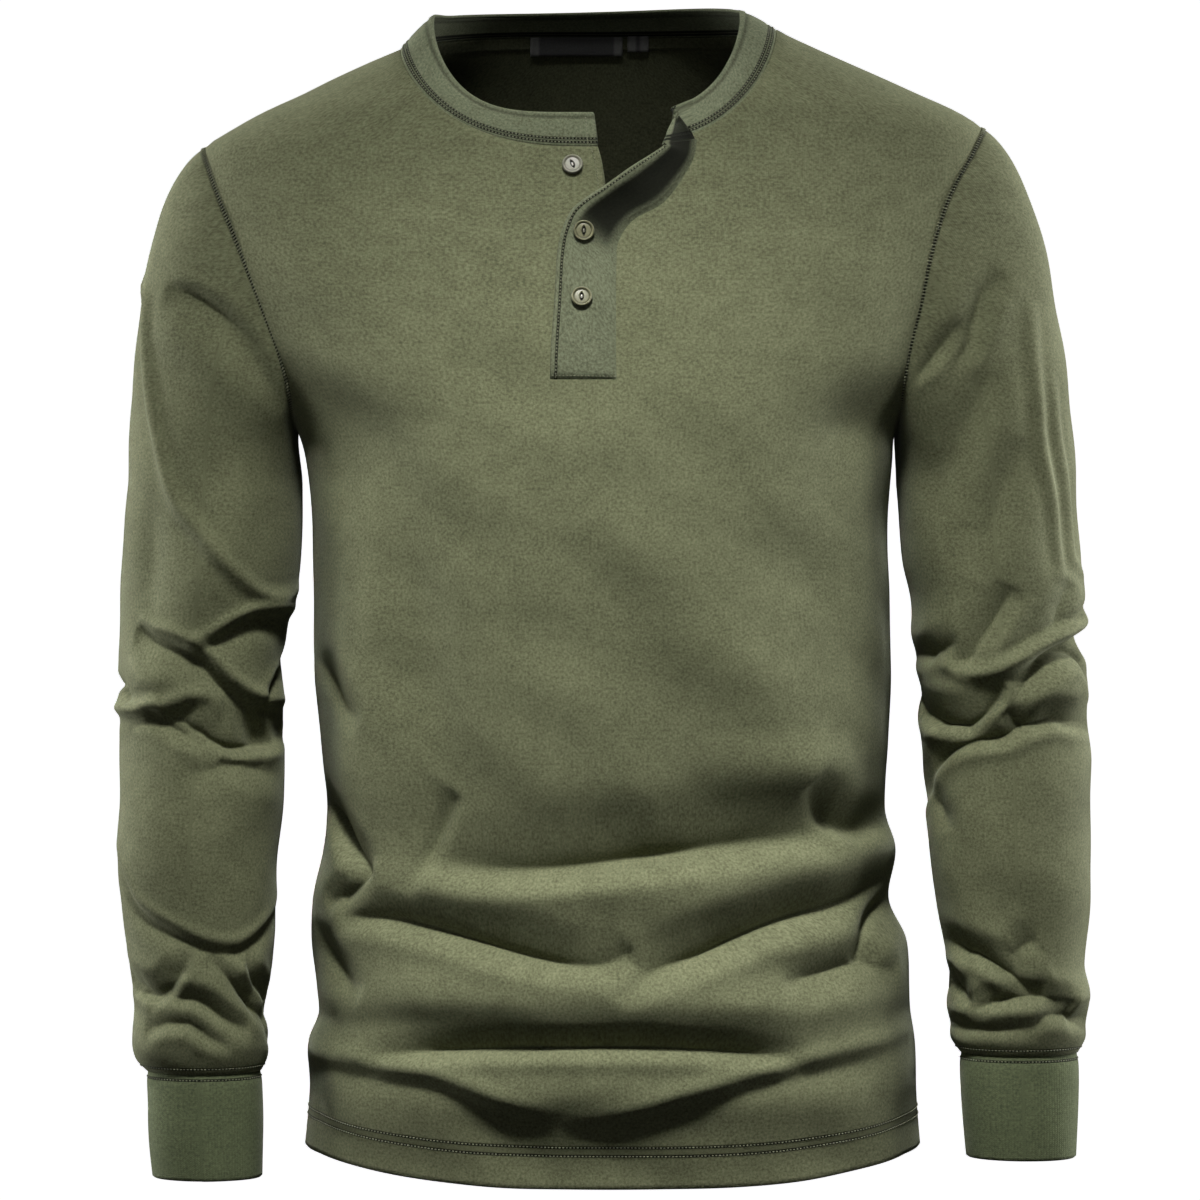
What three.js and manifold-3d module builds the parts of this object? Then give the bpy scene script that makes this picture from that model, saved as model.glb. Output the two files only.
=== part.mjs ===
import * as THREE from 'three';
import { mergeVertices } from 'three/addons/utils/BufferGeometryUtils.js';
import Module from 'manifold-3d';

// A long-sleeved henley shirt in cotton jersey, hollow, in the shape it takes when it is worn.
// Millimetres, +Z up. The front faces -Y and the wearer's left arm is on +X.
// The origin is at the base of the neck, level with the tops of the shoulder seams.

const wasm = await Module();
wasm.setup();

// Driving sizes: cloth and seams
const jersey = 1.2;
const doubledCloth = 2;
const ribbonCloth = 1;
const seamGap = 0.3;
const roundness = 2.4;

// Colours and how matt each material is
const olive = 0x6e7156;
const darkOlive = 0x4d533c;
const ribbonBlack = 0x1c1c1a;
const hornGrey = 0xb9b3a2;
const clothRoughness = 0.9;
const ribbedRoughness = 0.92;
const ribbonRoughness = 0.6;
const hornRoughness = 0.4;

// Driving sizes: heights along the side edges of the front and back
const hemHeight = -672;
const armpitHeight = -242;
const tipHeight = -61;
const neckPointHeight = -1;
const shoulderDrop = 12;
const hemDip = 15;
const hemDipTop = -540;
const foldedRows = 15;
const smoothRows = 5;
const foldedTop = -440;
const armholeRows = 8;
const shoulderRows = [-41, -20, neckPointHeight];
const frontColumns = 12;
const backColumns = 8;
const columnSpread = 0.95;

// Neckline seam: how low it is at the front and how high at the back
const neckFront = -79.4;
const neckBack = 6;
const neckFallsFrom = -300;
const neckSquareLeft = 2.6;
const neckSquareRight = 3;
const neckEase = 0.62;
const neckSeam = { centre: -6, reach: 112.6 };

// The body as ovals: half width to each side, depth to the front and back, at each height
const body = [
  { z: 12, minus: 95, plus: 92, front: 46, back: 71 },
  { z: -1, minus: 107, plus: 106.5, front: 50, back: 77 },
  { z: -12, minus: 118.6, plus: 129, front: 53, back: 82 },
  { z: -20, minus: 137, plus: 147, front: 56, back: 85 },
  { z: -31, minus: 161, plus: 172, front: 60, back: 89 },
  { z: -41, minus: 181, plus: 194, front: 64, back: 92 },
  { z: -51, minus: 203, plus: 216, front: 68, back: 95 },
  { z: -61, minus: 221, plus: 231, front: 70.5, back: 98 },
  { z: -73, minus: 239, plus: 237, front: 73.5, back: 101 },
  { z: -90, minus: 245, plus: 238, front: 79, back: 105 },
  { z: -110, minus: 246, plus: 236, front: 86, back: 109 },
  { z: -135, minus: 240, plus: 229, front: 95, back: 113 },
  { z: -160, minus: 230, plus: 220, front: 103, back: 115 },
  { z: -185, minus: 217, plus: 209, front: 110, back: 115 },
  { z: -210, minus: 203, plus: 197.5, front: 116, back: 115 },
  { z: -242, minus: 183, plus: 178.5, front: 122, back: 113 },
  { z: -262, minus: 177, plus: 176, front: 124, back: 112 },
  { z: -300, minus: 173.5, plus: 173.5, front: 125, back: 108 },
  { z: -390, minus: 172, plus: 175.5, front: 120, back: 101 },
  { z: -430, minus: 168, plus: 174, front: 117, back: 99 },
  { z: -470, minus: 164.5, plus: 172, front: 114, back: 99 },
  { z: -495, minus: 167, plus: 178, front: 113, back: 101 },
  { z: -525, minus: 173, plus: 174, front: 113, back: 103 },
  { z: -550, minus: 174, plus: 185, front: 113, back: 105 },
  { z: -590, minus: 169, plus: 187, front: 113, back: 108 },
  { z: -611, minus: 176, plus: 190, front: 114, back: 109 },
  { z: -640, minus: 175.5, plus: 191, front: 115, back: 109 },
  { z: -690, minus: 180, plus: 195, front: 116, back: 109 },
];

// Armhole seams: distance from the middle of the body, from the shoulder tip down to the armpit
const armhole = [
  { down: 0, minus: 239, plus: 231 },
  { down: 0.1, minus: 232, plus: 221.5 },
  { down: 0.2, minus: 225.5, plus: 211 },
  { down: 0.3, minus: 218.5, plus: 203 },
  { down: 0.45, minus: 208.5, plus: 195 },
  { down: 0.6, minus: 199, plus: 189.5 },
  { down: 0.75, minus: 190, plus: 183 },
  { down: 0.88, minus: 185, plus: 179.6 },
  { down: 1, minus: 183, plus: 178.5 },
];

// Edges of the placket slot in the front
const slotFoot = -215;
const slotEdges = [
  { z: -79, under: -1.8, over: 55 },
  { z: -88, under: 0.5, over: 50 },
  { z: -100, under: 2.3, over: 43 },
  { z: -113, under: 3, over: 33 },
  { z: -125, under: 3.6, over: 14 },
  { z: -137, under: 4, over: 6.4 },
  { z: -160, under: 4.2, over: 6 },
  { z: slotFoot, under: 4.4, over: 6.2 },
];

// Placket strip stations from its foot to the neckband: sewn edge, free edge and its lift
const strip = [
  { seamX: 9.2, seamZ: -218, freeX: -28, freeZ: -218, lift: 0 },
  { seamX: 9, seamZ: -203, freeX: -27, freeZ: -196, lift: 0 },
  { seamX: 9, seamZ: -186, freeX: -25.5, freeZ: -170, lift: 0.5 },
  { seamX: 9, seamZ: -166, freeX: -24, freeZ: -141, lift: 1.5 },
  { seamX: 9.4, seamZ: -150, freeX: -20.5, freeZ: -126, lift: 4 },
  { seamX: 10.5, seamZ: -137, freeX: -14, freeZ: -115.5, lift: 10 },
  { seamX: 19, seamZ: -124, freeX: 2.5, freeZ: -104.5, lift: 17 },
  { seamX: 38, seamZ: -112, freeX: 18.5, freeZ: -93, lift: 20 },
  { seamX: 53.5, seamZ: -89, freeX: 35.5, freeZ: -81.5, lift: 18 },
  { seamX: 57, seamZ: -75, freeX: 36, freeZ: -79.5, lift: 18 },
];
const stripRows = 14;
const stripColumns = 4;
const stripCurl = 1.6;
const laidOnGap = 0.6;

// Neckband: half width of its top edge, and the heights of that edge
const bandTop = {
  x: -8,
  y: -5,
  halfWidth: 93,
  halfDepth: 62,
  front: -58,
  minusSide: 9.5,
  plusSide: 13,
  back: 19,
  backTilt: 2.5,
  backEase: 0.4,
  roundness: 2.6,
};
const bandLevels = [0, 0.5, 1];
const bandBulges = [0, 0.8, 0];
const bandEndX = 54;
const bandFlap = { topX: 45.4, topZ: -59, lift: 14, steps: 3 };
const bandLean = 1.3;

// Sleeves: the arm's near and far sides measured from the middle of the body, its centre and half depth
const sleeves = {
  minus: [
    { z: -275, near: 180.2, far: 286, centre: 3, depth: 55 },
    { z: -308, near: 180.5, far: 288.5, centre: 2, depth: 54 },
    { z: -345, near: 184.5, far: 290, centre: 0, depth: 52 },
    { z: -382, near: 192, far: 291.6, centre: -3, depth: 50 },
    { z: -405, near: 190, far: 292, centre: -5, depth: 49 },
    { z: -430, near: 190, far: 290.4, centre: -6, depth: 48 },
    { z: -466, near: 191, far: 289, centre: -9, depth: 46 },
    { z: -502, near: 194.8, far: 290, centre: -11, depth: 44 },
    { z: -530, near: 195, far: 287, centre: -12, depth: 42 },
    { z: -563, near: 197, far: 283, centre: -14, depth: 40 },
    { z: -587, near: 201, far: 280, centre: -15, depth: 39 },
    { z: -611, near: 198.5, far: 282, centre: -16, depth: 38 },
    { z: -620, near: 200, far: 279.5, centre: -16, depth: 34 },
    { z: -627, near: 203.3, far: 272.5, centre: -16, depth: 26.5 },
  ],
  plus: [
    { z: -275, near: 179.8, far: 288, centre: 3, depth: 55 },
    { z: -320, near: 183, far: 290, centre: 1, depth: 53 },
    { z: -345, near: 188, far: 293, centre: 0, depth: 52 },
    { z: -369, near: 188.5, far: 289, centre: -2, depth: 51 },
    { z: -393, near: 192, far: 294.6, centre: -4, depth: 50 },
    { z: -418, near: 192.4, far: 293.4, centre: -6, depth: 48 },
    { z: -442, near: 195, far: 296, centre: -7, depth: 47 },
    { z: -502, near: 199, far: 295, centre: -11, depth: 44 },
    { z: -527, near: 202.7, far: 295.2, centre: -12, depth: 42 },
    { z: -563, near: 209, far: 291, centre: -14, depth: 40 },
    { z: -581, near: 209, far: 295, centre: -15, depth: 39 },
    { z: -599, near: 210, far: 292, centre: -16, depth: 38 },
    { z: -608, near: 211, far: 291.5, centre: -16, depth: 34 },
    { z: -616, near: 216.2, far: 287.2, centre: -16, depth: 26.5 },
  ],
};
const capRows = 6;
const armRows = 18;
const around = 16;
const underarmGap = 0.4;
const shoulderGap = 1;
const capSwing = { out: 115, sideDrop: 45, topDrop: 30, drift: 8, under: 33, top: 167 };
const sleeveFade = { capFrom: 0.15, capTo: 0.6, footFrom: 0.01, footTo: 0.06, inner: 0.8, innerFrom: 0.55 };

// Cuffs: height of the lower edge, and how the tube narrows
const cuffs = {
  minus: { z: -690, near: 202.8, far: 268.8, centre: -17, depth: 25.5 },
  plus: { z: -678, near: 219.8, far: 286, centre: -17, depth: 25.5 },
};
const cuffRows = 3;

// Shape of every fold: the shares of its roll and valley, and how much tighter the valley is
const foldShape = { roll: 0.6, valley: 0.5, tightness: 0.6 };
const sideFadeRate = 4;

// Folds across the front and back: the low line of each fold, how it hangs, its width and depth
const frontFolds = [
  { fromX: -96, fromZ: -490, toX: 128, toZ: -486, sag: 9, width: 19, depth: 15.4 },
  { fromX: -160, fromZ: -519, toX: 18, toZ: -546, sag: 0, width: 14, depth: 12.6 },
  { fromX: 8, fromZ: -574, toX: 168, toZ: -503, sag: -6, width: 14, depth: 12.6 },
  { fromX: -166, fromZ: -462, toX: -128, toZ: -506, sag: 0, width: 12, depth: 11.2 },
  { fromX: 118, fromZ: -462, toX: 176, toZ: -482, sag: 0, width: 13, depth: 11.2 },
  { fromX: 100, fromZ: -560, toX: 176, toZ: -580, sag: 4, width: 14, depth: 9.8 },
  { fromX: -152, fromZ: -604, toX: 126, toZ: -603, sag: 3, width: 19, depth: 14 },
  { fromX: -168, fromZ: -630, toX: -34, toZ: -655, sag: 0, width: 12, depth: 8.4 },
  { fromX: -2, fromZ: -655, toX: 182, toZ: -612, sag: 6, width: 12, depth: 8.4 },
];
const backFolds = [
  { fromX: -120, fromZ: -452, toX: 132, toZ: -470, sag: 12, width: 20, depth: 12.6 },
  { fromX: -150, fromZ: -512, toX: 60, toZ: -530, sag: 6, width: 17, depth: 11.2 },
  { fromX: -30, fromZ: -572, toX: 160, toZ: -540, sag: 5, width: 16, depth: 9.8 },
  { fromX: -150, fromZ: -600, toX: 100, toZ: -614, sag: 6, width: 19, depth: 11.2 },
];

// Folds around the sleeves: degrees from the front, positive towards +X, and heights
const sleeveFolds = {
  minus: [
    { fromTurn: -30, fromZ: -158, toTurn: 80, toZ: -236, sag: -8, width: 10, depth: 8.4 },
    { fromTurn: -85, fromZ: -372, toTurn: 12, toZ: -402, sag: 0, width: 10, depth: 11.2 },
    { fromTurn: -12, fromZ: -377, toTurn: 80, toZ: -362, sag: -5, width: 10, depth: 9.8 },
    { fromTurn: -40, fromZ: -414, toTurn: 80, toZ: -430, sag: 4, width: 12, depth: 14 },
    { fromTurn: 120, fromZ: -395, toTurn: 230, toZ: -385, sag: 5, width: 12, depth: 8.4 },
    { fromTurn: -85, fromZ: -520, toTurn: 85, toZ: -540, sag: 28, width: 9, depth: -5.6 },
    { fromTurn: -50, fromZ: -592, toTurn: 70, toZ: -612, sag: -6, width: 8, depth: 8.4 },
    { fromTurn: 110, fromZ: -596, toTurn: 250, toZ: -590, sag: 6, width: 9, depth: 7 },
  ],
  plus: [
    { fromTurn: -20, fromZ: -176, toTurn: -85, toZ: -216, sag: 0, width: 9, depth: 8.4 },
    { fromTurn: 8, fromZ: -142, toTurn: -46, toZ: -212, sag: 0, width: 9, depth: 7 },
    { fromTurn: -80, fromZ: -410, toTurn: 5, toZ: -398, sag: 4, width: 12, depth: 14 },
    { fromTurn: -60, fromZ: -442, toTurn: 62, toZ: -420, sag: 0, width: 10, depth: 11.2 },
    { fromTurn: 6, fromZ: -410, toTurn: 80, toZ: -386, sag: -4, width: 10, depth: 9.8 },
    { fromTurn: 125, fromZ: -405, toTurn: 240, toZ: -398, sag: 5, width: 12, depth: 8.4 },
    { fromTurn: -45, fromZ: -553, toTurn: 75, toZ: -584, sag: -4, width: 9, depth: 8.4 },
    { fromTurn: -28, fromZ: -592, toTurn: 66, toZ: -588, sag: -4, width: 8, depth: 8.4 },
    { fromTurn: 115, fromZ: -572, toTurn: 250, toZ: -580, sag: 6, width: 9, depth: 7 },
  ],
};

// Buttons, with the place of each on its strip or panel
const button = {
  radius: 6.15,
  thickness: 2.4,
  rim: 1.1,
  rimSlope: 1.6,
  dish: 0.7,
  backShare: 0.8,
  widestShare: 0.4,
  hole: 0.9,
  holeSpacing: 3.4,
  holeSides: 8,
  sides: 14,
  sink: 0.7,
};
const buttons = [
  { name: 'button_1', x: -16.1, z: -90.8, turn: -24, onStrip: false },
  { name: 'button_2', x: -9.3, z: -131, turn: 0, onStrip: true },
  { name: 'button_3', x: -10.7, z: -170.5, turn: 0, onStrip: true },
];

// Tape and labels on the inside of the back neck
const neckTape = { fromX: -98, toX: 88, below: 1.5, height: 6, steps: 14 };
const neckLabel = { fromX: -43, toX: 13.7, below: 1, height: 10.5, steps: 6 };
const sizeTab = { fromX: 17.4, toX: 29.9, below: 0.5, height: 8.5, steps: 2 };

// Steps that measure how each surface slopes, and that find a place on the strip
const degree = Math.PI / 180;
const slopeStep = { height: 1, sleeveTravel: 0.002, across: 0.05, stripTravel: 0.01 };
const stripSearch = {
  fromTravel: 0.05,
  toTravel: 0.8,
  travel: 0.005,
  fromAcross: 0.1,
  toAcross: 0.95,
  across: 0.02,
};
const weldDistance = 1e-4;

const sideName = (x) => (x < 0 ? 'minus' : 'plus');
const softPower = (value, power) => Math.sign(value) * Math.abs(value) ** power;
const mix = THREE.MathUtils.lerp;
const bump = (value) => Math.exp(-value * value);

// A smooth curve through one column of a table, read at any place along another column
function readTable(rows, key, at, column) {
  const last = rows.length - 1;
  const direction = Math.sign(rows[last][key] - rows[0][key]);
  let low = 0;
  while (low < last - 1 && direction * (at - rows[low + 1][key]) > 0) low += 1;
  const slope = (index) => {
    const before = rows[Math.max(index - 1, 0)];
    const after = rows[Math.min(index + 1, last)];
    return (after[column] - before[column]) / (after[key] - before[key]);
  };
  const span = rows[low + 1][key] - rows[low][key];
  const t = THREE.MathUtils.clamp((at - rows[low][key]) / span, 0, 1);
  const ease = t * t * (3 - 2 * t);
  const leave = t * (1 - t) * (1 - t) * span * slope(low);
  const arrive = t * t * (t - 1) * span * slope(low + 1);
  return mix(rows[low][column], rows[low + 1][column], ease) + leave + arrive;
}

// A hanging fold: a soft roll above a tighter valley, fading at both ends
function foldHeight(fold, along, above) {
  const fade = Math.sqrt(Math.max(Math.sin(Math.PI * THREE.MathUtils.clamp(along, 0, 1)), 0));
  const roll = foldShape.roll * bump((above - fold.width) / fold.width);
  const valley = foldShape.valley * bump(above / (foldShape.tightness * fold.width));
  return fold.depth * fade * (roll - valley);
}

// Height of a fold's low line, which hangs by its sag in the middle
function foldLine(fold, along) {
  return mix(fold.fromZ, fold.toZ, along) - 4 * fold.sag * along * (1 - along);
}

function panelRelief(folds, x, z, turn) {
  const sideFade = Math.min(1, Math.abs(Math.cos(turn)) * sideFadeRate);
  let relief = 0;
  for (const fold of folds) {
    const along = (x - fold.fromX) / (fold.toX - fold.fromX);
    const line = foldLine(fold, along);
    const steep = Math.hypot(1, (fold.toZ - fold.fromZ) / (fold.toX - fold.fromX));
    if (along > 0 && along < 1) relief += foldHeight(fold, along, (z - line) / steep);
  }
  return relief * sideFade;
}

function sleeveRelief(folds, turn, z) {
  let relief = 0;
  for (const fold of folds) {
    const middle = (fold.fromTurn + fold.toTurn) / 2;
    const near = middle + THREE.MathUtils.euclideanModulo(turn / degree - middle + 180, 360) - 180;
    const along = (near - fold.fromTurn) / (fold.toTurn - fold.fromTurn);
    if (along > 0 && along < 1) relief += foldHeight(fold, along, z - foldLine(fold, along));
  }
  return relief;
}

// The body's form, by the turn from the middle front or back to the side, and the height
function bodyPoint(turn, z, face) {
  const halfWidth = readTable(body, 'z', z, sideName(turn));
  const depth = readTable(body, 'z', z, face);
  const forward = face === 'front' ? -1 : 1;
  const x = halfWidth * softPower(Math.sin(turn), 2 / roundness);
  const y = forward * depth * softPower(Math.cos(turn), 2 / roundness);
  const relief = panelRelief(face === 'front' ? frontFolds : backFolds, x, z, turn);
  return new THREE.Vector3(x + relief * Math.sin(turn), y + forward * relief * Math.cos(turn), z);
}

function turnAt(x, z) {
  const ratio = Math.min(1, Math.abs(x) / readTable(body, 'z', z, sideName(x)));
  return Math.sign(x) * Math.asin(ratio ** (roundness / 2));
}

// Point and outward normal of a surface given by a function of two values
function surfaceVertex(pointAt, u, v, stepU, stepV) {
  const alongU = pointAt(u + stepU, v).sub(pointAt(u - stepU, v));
  const alongV = pointAt(u, v + stepV).sub(pointAt(u, v - stepV));
  return { point: pointAt(u, v), normal: alongU.cross(alongV).normalize() };
}

function bodyVertex(x, z, face, edge) {
  const turn = turnAt(x, z);
  const vertex = surfaceVertex((u, v) => bodyPoint(u, v, face), turn, z, degree, slopeStep.height);
  if (face === 'back') vertex.normal.negate();
  if (edge) {
    vertex.point.y = (face === 'front' ? -1 : 1) * seamGap / 2;
    vertex.normal.y = 0;
    vertex.normal.normalize();
  }
  return vertex;
}

// Cloth: a wall of even thickness behind a net of four-cornered cells
class Cloth {
  constructor(wall) {
    this.wall = wall;
    this.vertices = [];
    this.cells = [];
  }

  add(vertex) {
    this.vertices.push(vertex);
    return this.vertices.length - 1;
  }

  net(rows, closed = false) {
    for (let row = 0; row + 1 < rows.length; row += 1) {
      const count = rows[row].length;
      for (let column = 0; column + (closed ? 0 : 1) < count; column += 1) {
        const next = (column + 1) % count;
        this.cells.push([rows[row][column], rows[row][next], rows[row + 1][next], rows[row + 1][column]]);
      }
    }
  }

  geometry() {
    const count = this.vertices.length;
    const positions = [];
    for (const { point } of this.vertices) positions.push(point.x, point.y, point.z);
    for (const { point, normal } of this.vertices) {
      const inner = point.clone().addScaledVector(normal, -this.wall);
      positions.push(inner.x, inner.y, inner.z);
    }
    const faces = [];
    const edges = new Set();
    for (const cell of this.cells) {
      const [a, b, c, d] = cell;
      faces.push(a, b, c, a, c, d);
      faces.push(a + count, c + count, b + count, a + count, d + count, c + count);
      cell.forEach((start, corner) => edges.add(`${start},${cell[(corner + 1) % 4]}`));
    }
    for (const edge of edges) {
      const [start, end] = edge.split(',').map(Number);
      if (edges.has(`${end},${start}`)) continue;
      faces.push(end, start, start + count, end, start + count, end + count);
    }
    const geometry = new THREE.BufferGeometry();
    geometry.setAttribute('position', new THREE.Float32BufferAttribute(positions, 3));
    geometry.setIndex(faces);
    return geometry;
  }
}

// Heights of the rows of a body panel, measured on the wearer's left edge
function panelRows(step) {
  const rows = [];
  for (let row = 0; row < foldedRows; row += step) rows.push(mix(hemHeight, foldedTop, row / foldedRows));
  for (let row = 0; row < smoothRows; row += step) rows.push(mix(foldedTop, armpitHeight, row / smoothRows));
  const middle = (armpitHeight + tipHeight) / 2;
  const reach = (tipHeight - armpitHeight) / 2;
  for (let row = 0; row <= armholeRows; row += 1) {
    rows.push(middle - reach * Math.cos((Math.PI * row) / armholeRows));
  }
  return rows.concat(shoulderRows);
}

function edgePoint(height, side) {
  const drop = side < 0 ? shoulderDrop * THREE.MathUtils.smoothstep(height, armpitHeight, tipHeight) : 0;
  const z = height - drop;
  const name = side < 0 ? 'minus' : 'plus';
  const down = (tipHeight - height) / (tipHeight - armpitHeight);
  const inArmhole = down > 0 && down < 1;
  const x = inArmhole ? readTable(armhole, 'down', down, name) : readTable(body, 'z', z, name);
  return { x: side * x, z, seam: !inArmhole };
}

// Height of a row at a place across: level with the edges, falling to its middle height
function rowHeight(height, face, left, right, x) {
  const centre = (left.x + right.x) / 2;
  const out = THREE.MathUtils.clamp((x - centre) / ((right.x - left.x) / 2), -1, 1);
  const rise = THREE.MathUtils.clamp((height - neckFallsFrom) / (neckPointHeight - neckFallsFrom), 0, 1);
  const hemFall = hemDip * THREE.MathUtils.smoothstep(-height, -hemDipTop, -hemHeight);
  const frontMiddle = mix(neckFallsFrom, neckFront, rise);
  const backMiddle = height + (neckBack - neckPointHeight) * rise;
  const level = face === 'front' ? frontMiddle : backMiddle;
  const middle = height < neckFallsFrom ? height - hemFall : level;
  const square = out < 0 ? neckSquareLeft : neckSquareRight;
  const edge = out < 0 ? left.z : right.z;
  const ease = mix(1, neckEase, rise);
  return mix(middle, edge, 1 - (1 - Math.abs(out) ** square) ** ease);
}

// Half a row, from the side edge in to the middle or the slot
function halfRow(cloth, height, face, side, middleX, columns) {
  const left = edgePoint(height, -1);
  const right = edgePoint(height, 1);
  const edge = side < 0 ? left : right;
  const row = [];
  for (let column = 0; column <= columns; column += 1) {
    const inward = Math.sin((1 - column / columns) * 90 * degree) ** columnSpread;
    const x = mix(middleX, edge.x, inward);
    const z = rowHeight(height, face, left, right, x);
    row.push(bodyVertex(x, z, face, column === 0 && edge.seam));
  }
  return row;
}

function makeFront() {
  const cloth = new Cloth(jersey);
  const heights = panelRows(1);
  const rows = [];
  for (const height of heights) {
    const left = edgePoint(height, -1);
    const right = edgePoint(height, 1);
    const middleZ = rowHeight(height, 'front', left, right, 0);
    const slotZ = Math.max(middleZ, slotFoot);
    const underX = readTable(slotEdges, 'z', slotZ, 'under');
    const overX = readTable(slotEdges, 'z', slotZ, 'over');
    const open = middleZ > slotFoot;
    const middleX = open ? underX : (underX + overX) / 2;
    const underRow = halfRow(cloth, height, 'front', -1, middleX, frontColumns).map((v) => cloth.add(v));
    const overVertices = halfRow(cloth, height, 'front', 1, open ? overX : middleX, frontColumns);
    const overRow = overVertices.map((v, i) => (i === frontColumns && !open ? underRow[i] : cloth.add(v)));
    rows.push({ under: underRow, over: overRow.reverse() });
  }
  cloth.net(rows.map((row) => row.under));
  cloth.net(rows.map((row) => row.over));
  return { cloth, top: rows[rows.length - 1] };
}

function makeBack() {
  const cloth = new Cloth(jersey);
  const rows = panelRows(2).map((height) => {
    const leftHalf = halfRow(cloth, height, 'back', -1, 0, backColumns).map((v) => cloth.add(v));
    const rightVertices = halfRow(cloth, height, 'back', 1, 0, backColumns).slice(0, -1);
    const rightHalf = rightVertices.map((v) => cloth.add(v));
    return leftHalf.concat(rightHalf.reverse()).reverse();
  });
  cloth.net(rows);
  return { cloth, top: rows[rows.length - 1] };
}

// Sleeves: a cap from the armhole to the upper arm, then rings down to the cuff
function armRing(side, turn, z, row) {
  const name = side < 0 ? 'minus' : 'plus';
  const read = (column) => (row ? row[column] : readTable(sleeves[name], 'z', z, column));
  const near = read('near');
  const far = read('far');
  const x = side * (near + far) / 2 + ((far - near) / 2) * Math.sin(turn);
  return new THREE.Vector3(x, read('centre') - read('depth') * Math.cos(turn), z);
}

function armholePoint(side, turn) {
  const down = (1 - side * Math.sin(turn)) / 2;
  const height = mix(tipHeight, armpitHeight, down);
  const edge = edgePoint(height, side);
  const face = Math.cos(turn) >= 0 ? 'front' : 'back';
  const point = bodyPoint(turnAt(edge.x, edge.z), edge.z, face);
  point.x = edge.x + side * mix(shoulderGap, underarmGap, down);
  return point;
}

function capPoint(side, turn, t) {
  const start = armholePoint(side, turn);
  const end = armRing(side, turn, sleeves[side < 0 ? 'minus' : 'plus'][0].z);
  const upper = (1 + side * Math.sin(turn)) / 2;
  const leaveDrop = -capSwing.topDrop - capSwing.sideDrop * upper;
  const arriveDrop = -capSwing.under - capSwing.top * upper;
  const leave = new THREE.Vector3(side * capSwing.out * upper, 0, leaveDrop);
  const arrive = new THREE.Vector3(side * capSwing.drift * upper, 0, arriveDrop);
  const point = start.multiplyScalar(2 * t ** 3 - 3 * t ** 2 + 1);
  point.addScaledVector(leave, t ** 3 - 2 * t ** 2 + t);
  point.addScaledVector(end, 3 * t ** 2 - 2 * t ** 3);
  return point.addScaledVector(arrive, t ** 3 - t ** 2);
}

function sleevePoint(side, turn, travel) {
  const name = side < 0 ? 'minus' : 'plus';
  const rows = sleeves[name];
  const top = rows[0].z;
  const foot = rows[rows.length - 1].z;
  const point = travel < 1 ? capPoint(side, turn, travel) : armRing(side, turn, mix(top, foot, travel - 1));
  const inward = -side * Math.sin(turn);
  const armholeFade = THREE.MathUtils.smoothstep(travel, sleeveFade.capFrom, sleeveFade.capTo);
  const footFade = THREE.MathUtils.smoothstep(2 - travel, sleeveFade.footFrom, sleeveFade.footTo);
  const innerFade = 1 - sleeveFade.inner * THREE.MathUtils.smoothstep(inward, sleeveFade.innerFrom, 1);
  const relief = sleeveRelief(sleeveFolds[name], turn, point.z) * armholeFade * footFade * innerFade;
  return point.add(new THREE.Vector3(Math.sin(turn), -Math.cos(turn), 0).multiplyScalar(relief));
}

function makeSleeve(side) {
  const cloth = new Cloth(jersey);
  const rows = [];
  const total = capRows + armRows;
  for (let row = 0; row <= total; row += 1) {
    const travel = row <= capRows ? row / capRows : 1 + (row - capRows) / armRows;
    const ring = [];
    for (let step = 0; step < around; step += 1) {
      const turn = (step / around) * 360 * degree;
      const pointAt = (u, v) => sleevePoint(side, u, v);
      const vertex = surfaceVertex(pointAt, turn, travel, degree, slopeStep.sleeveTravel);
      vertex.normal.negate();
      if (row === total) vertex.normal.setZ(0).normalize();
      ring.push(cloth.add(vertex));
    }
    rows.unshift(ring);
  }
  cloth.net(rows, true);
  return cloth;
}

function makeCuff(side) {
  const name = side < 0 ? 'minus' : 'plus';
  const sleeveEnd = sleeves[name][sleeves[name].length - 1];
  const top = { ...sleeveEnd, z: sleeveEnd.z - seamGap };
  const cloth = new Cloth(doubledCloth);
  const rows = [];
  for (let row = 0; row <= cuffRows; row += 1) {
    const section = {};
    for (const column of ['z', 'near', 'far', 'centre', 'depth']) {
      section[column] = mix(top[column], cuffs[name][column], row / cuffRows);
    }
    const ring = [];
    for (let step = 0; step < around; step += 1) {
      const turn = (step / around) * 360 * degree;
      const normal = new THREE.Vector3(Math.sin(turn), -Math.cos(turn), 0);
      ring.push(cloth.add({ point: armRing(side, turn, section.z, section), normal }));
    }
    rows.unshift(ring);
  }
  cloth.net(rows, true);
  return cloth;
}

// The placket strip that lies on the front and curls away from it near the neck
function stripPoint(across, travel) {
  const scaled = travel * (strip.length - 1);
  const rows = strip.map((row, station) => ({ ...row, station }));
  const read = (column) => readTable(rows, 'station', scaled, column);
  const x = mix(read('seamX'), read('freeX'), across);
  const z = mix(read('seamZ'), read('freeZ'), across);
  const point = bodyPoint(turnAt(x, z), z, 'front');
  point.y -= jersey + laidOnGap + read('lift') * Math.max(across, 0) ** stripCurl;
  return point;
}

function stripVertex(across, travel) {
  const vertex = surfaceVertex(stripPoint, across, travel, slopeStep.across, slopeStep.stripTravel);
  vertex.normal.negate();
  return vertex;
}

function makeStrip() {
  const cloth = new Cloth(jersey);
  const rows = [];
  for (let row = 0; row <= stripRows; row += 1) {
    const line = [];
    for (let column = stripColumns; column >= 0; column -= 1) {
      line.push(cloth.add(stripVertex(column / stripColumns, row / stripRows)));
    }
    rows.push(line);
  }
  cloth.net(rows);
  return cloth;
}

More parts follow.
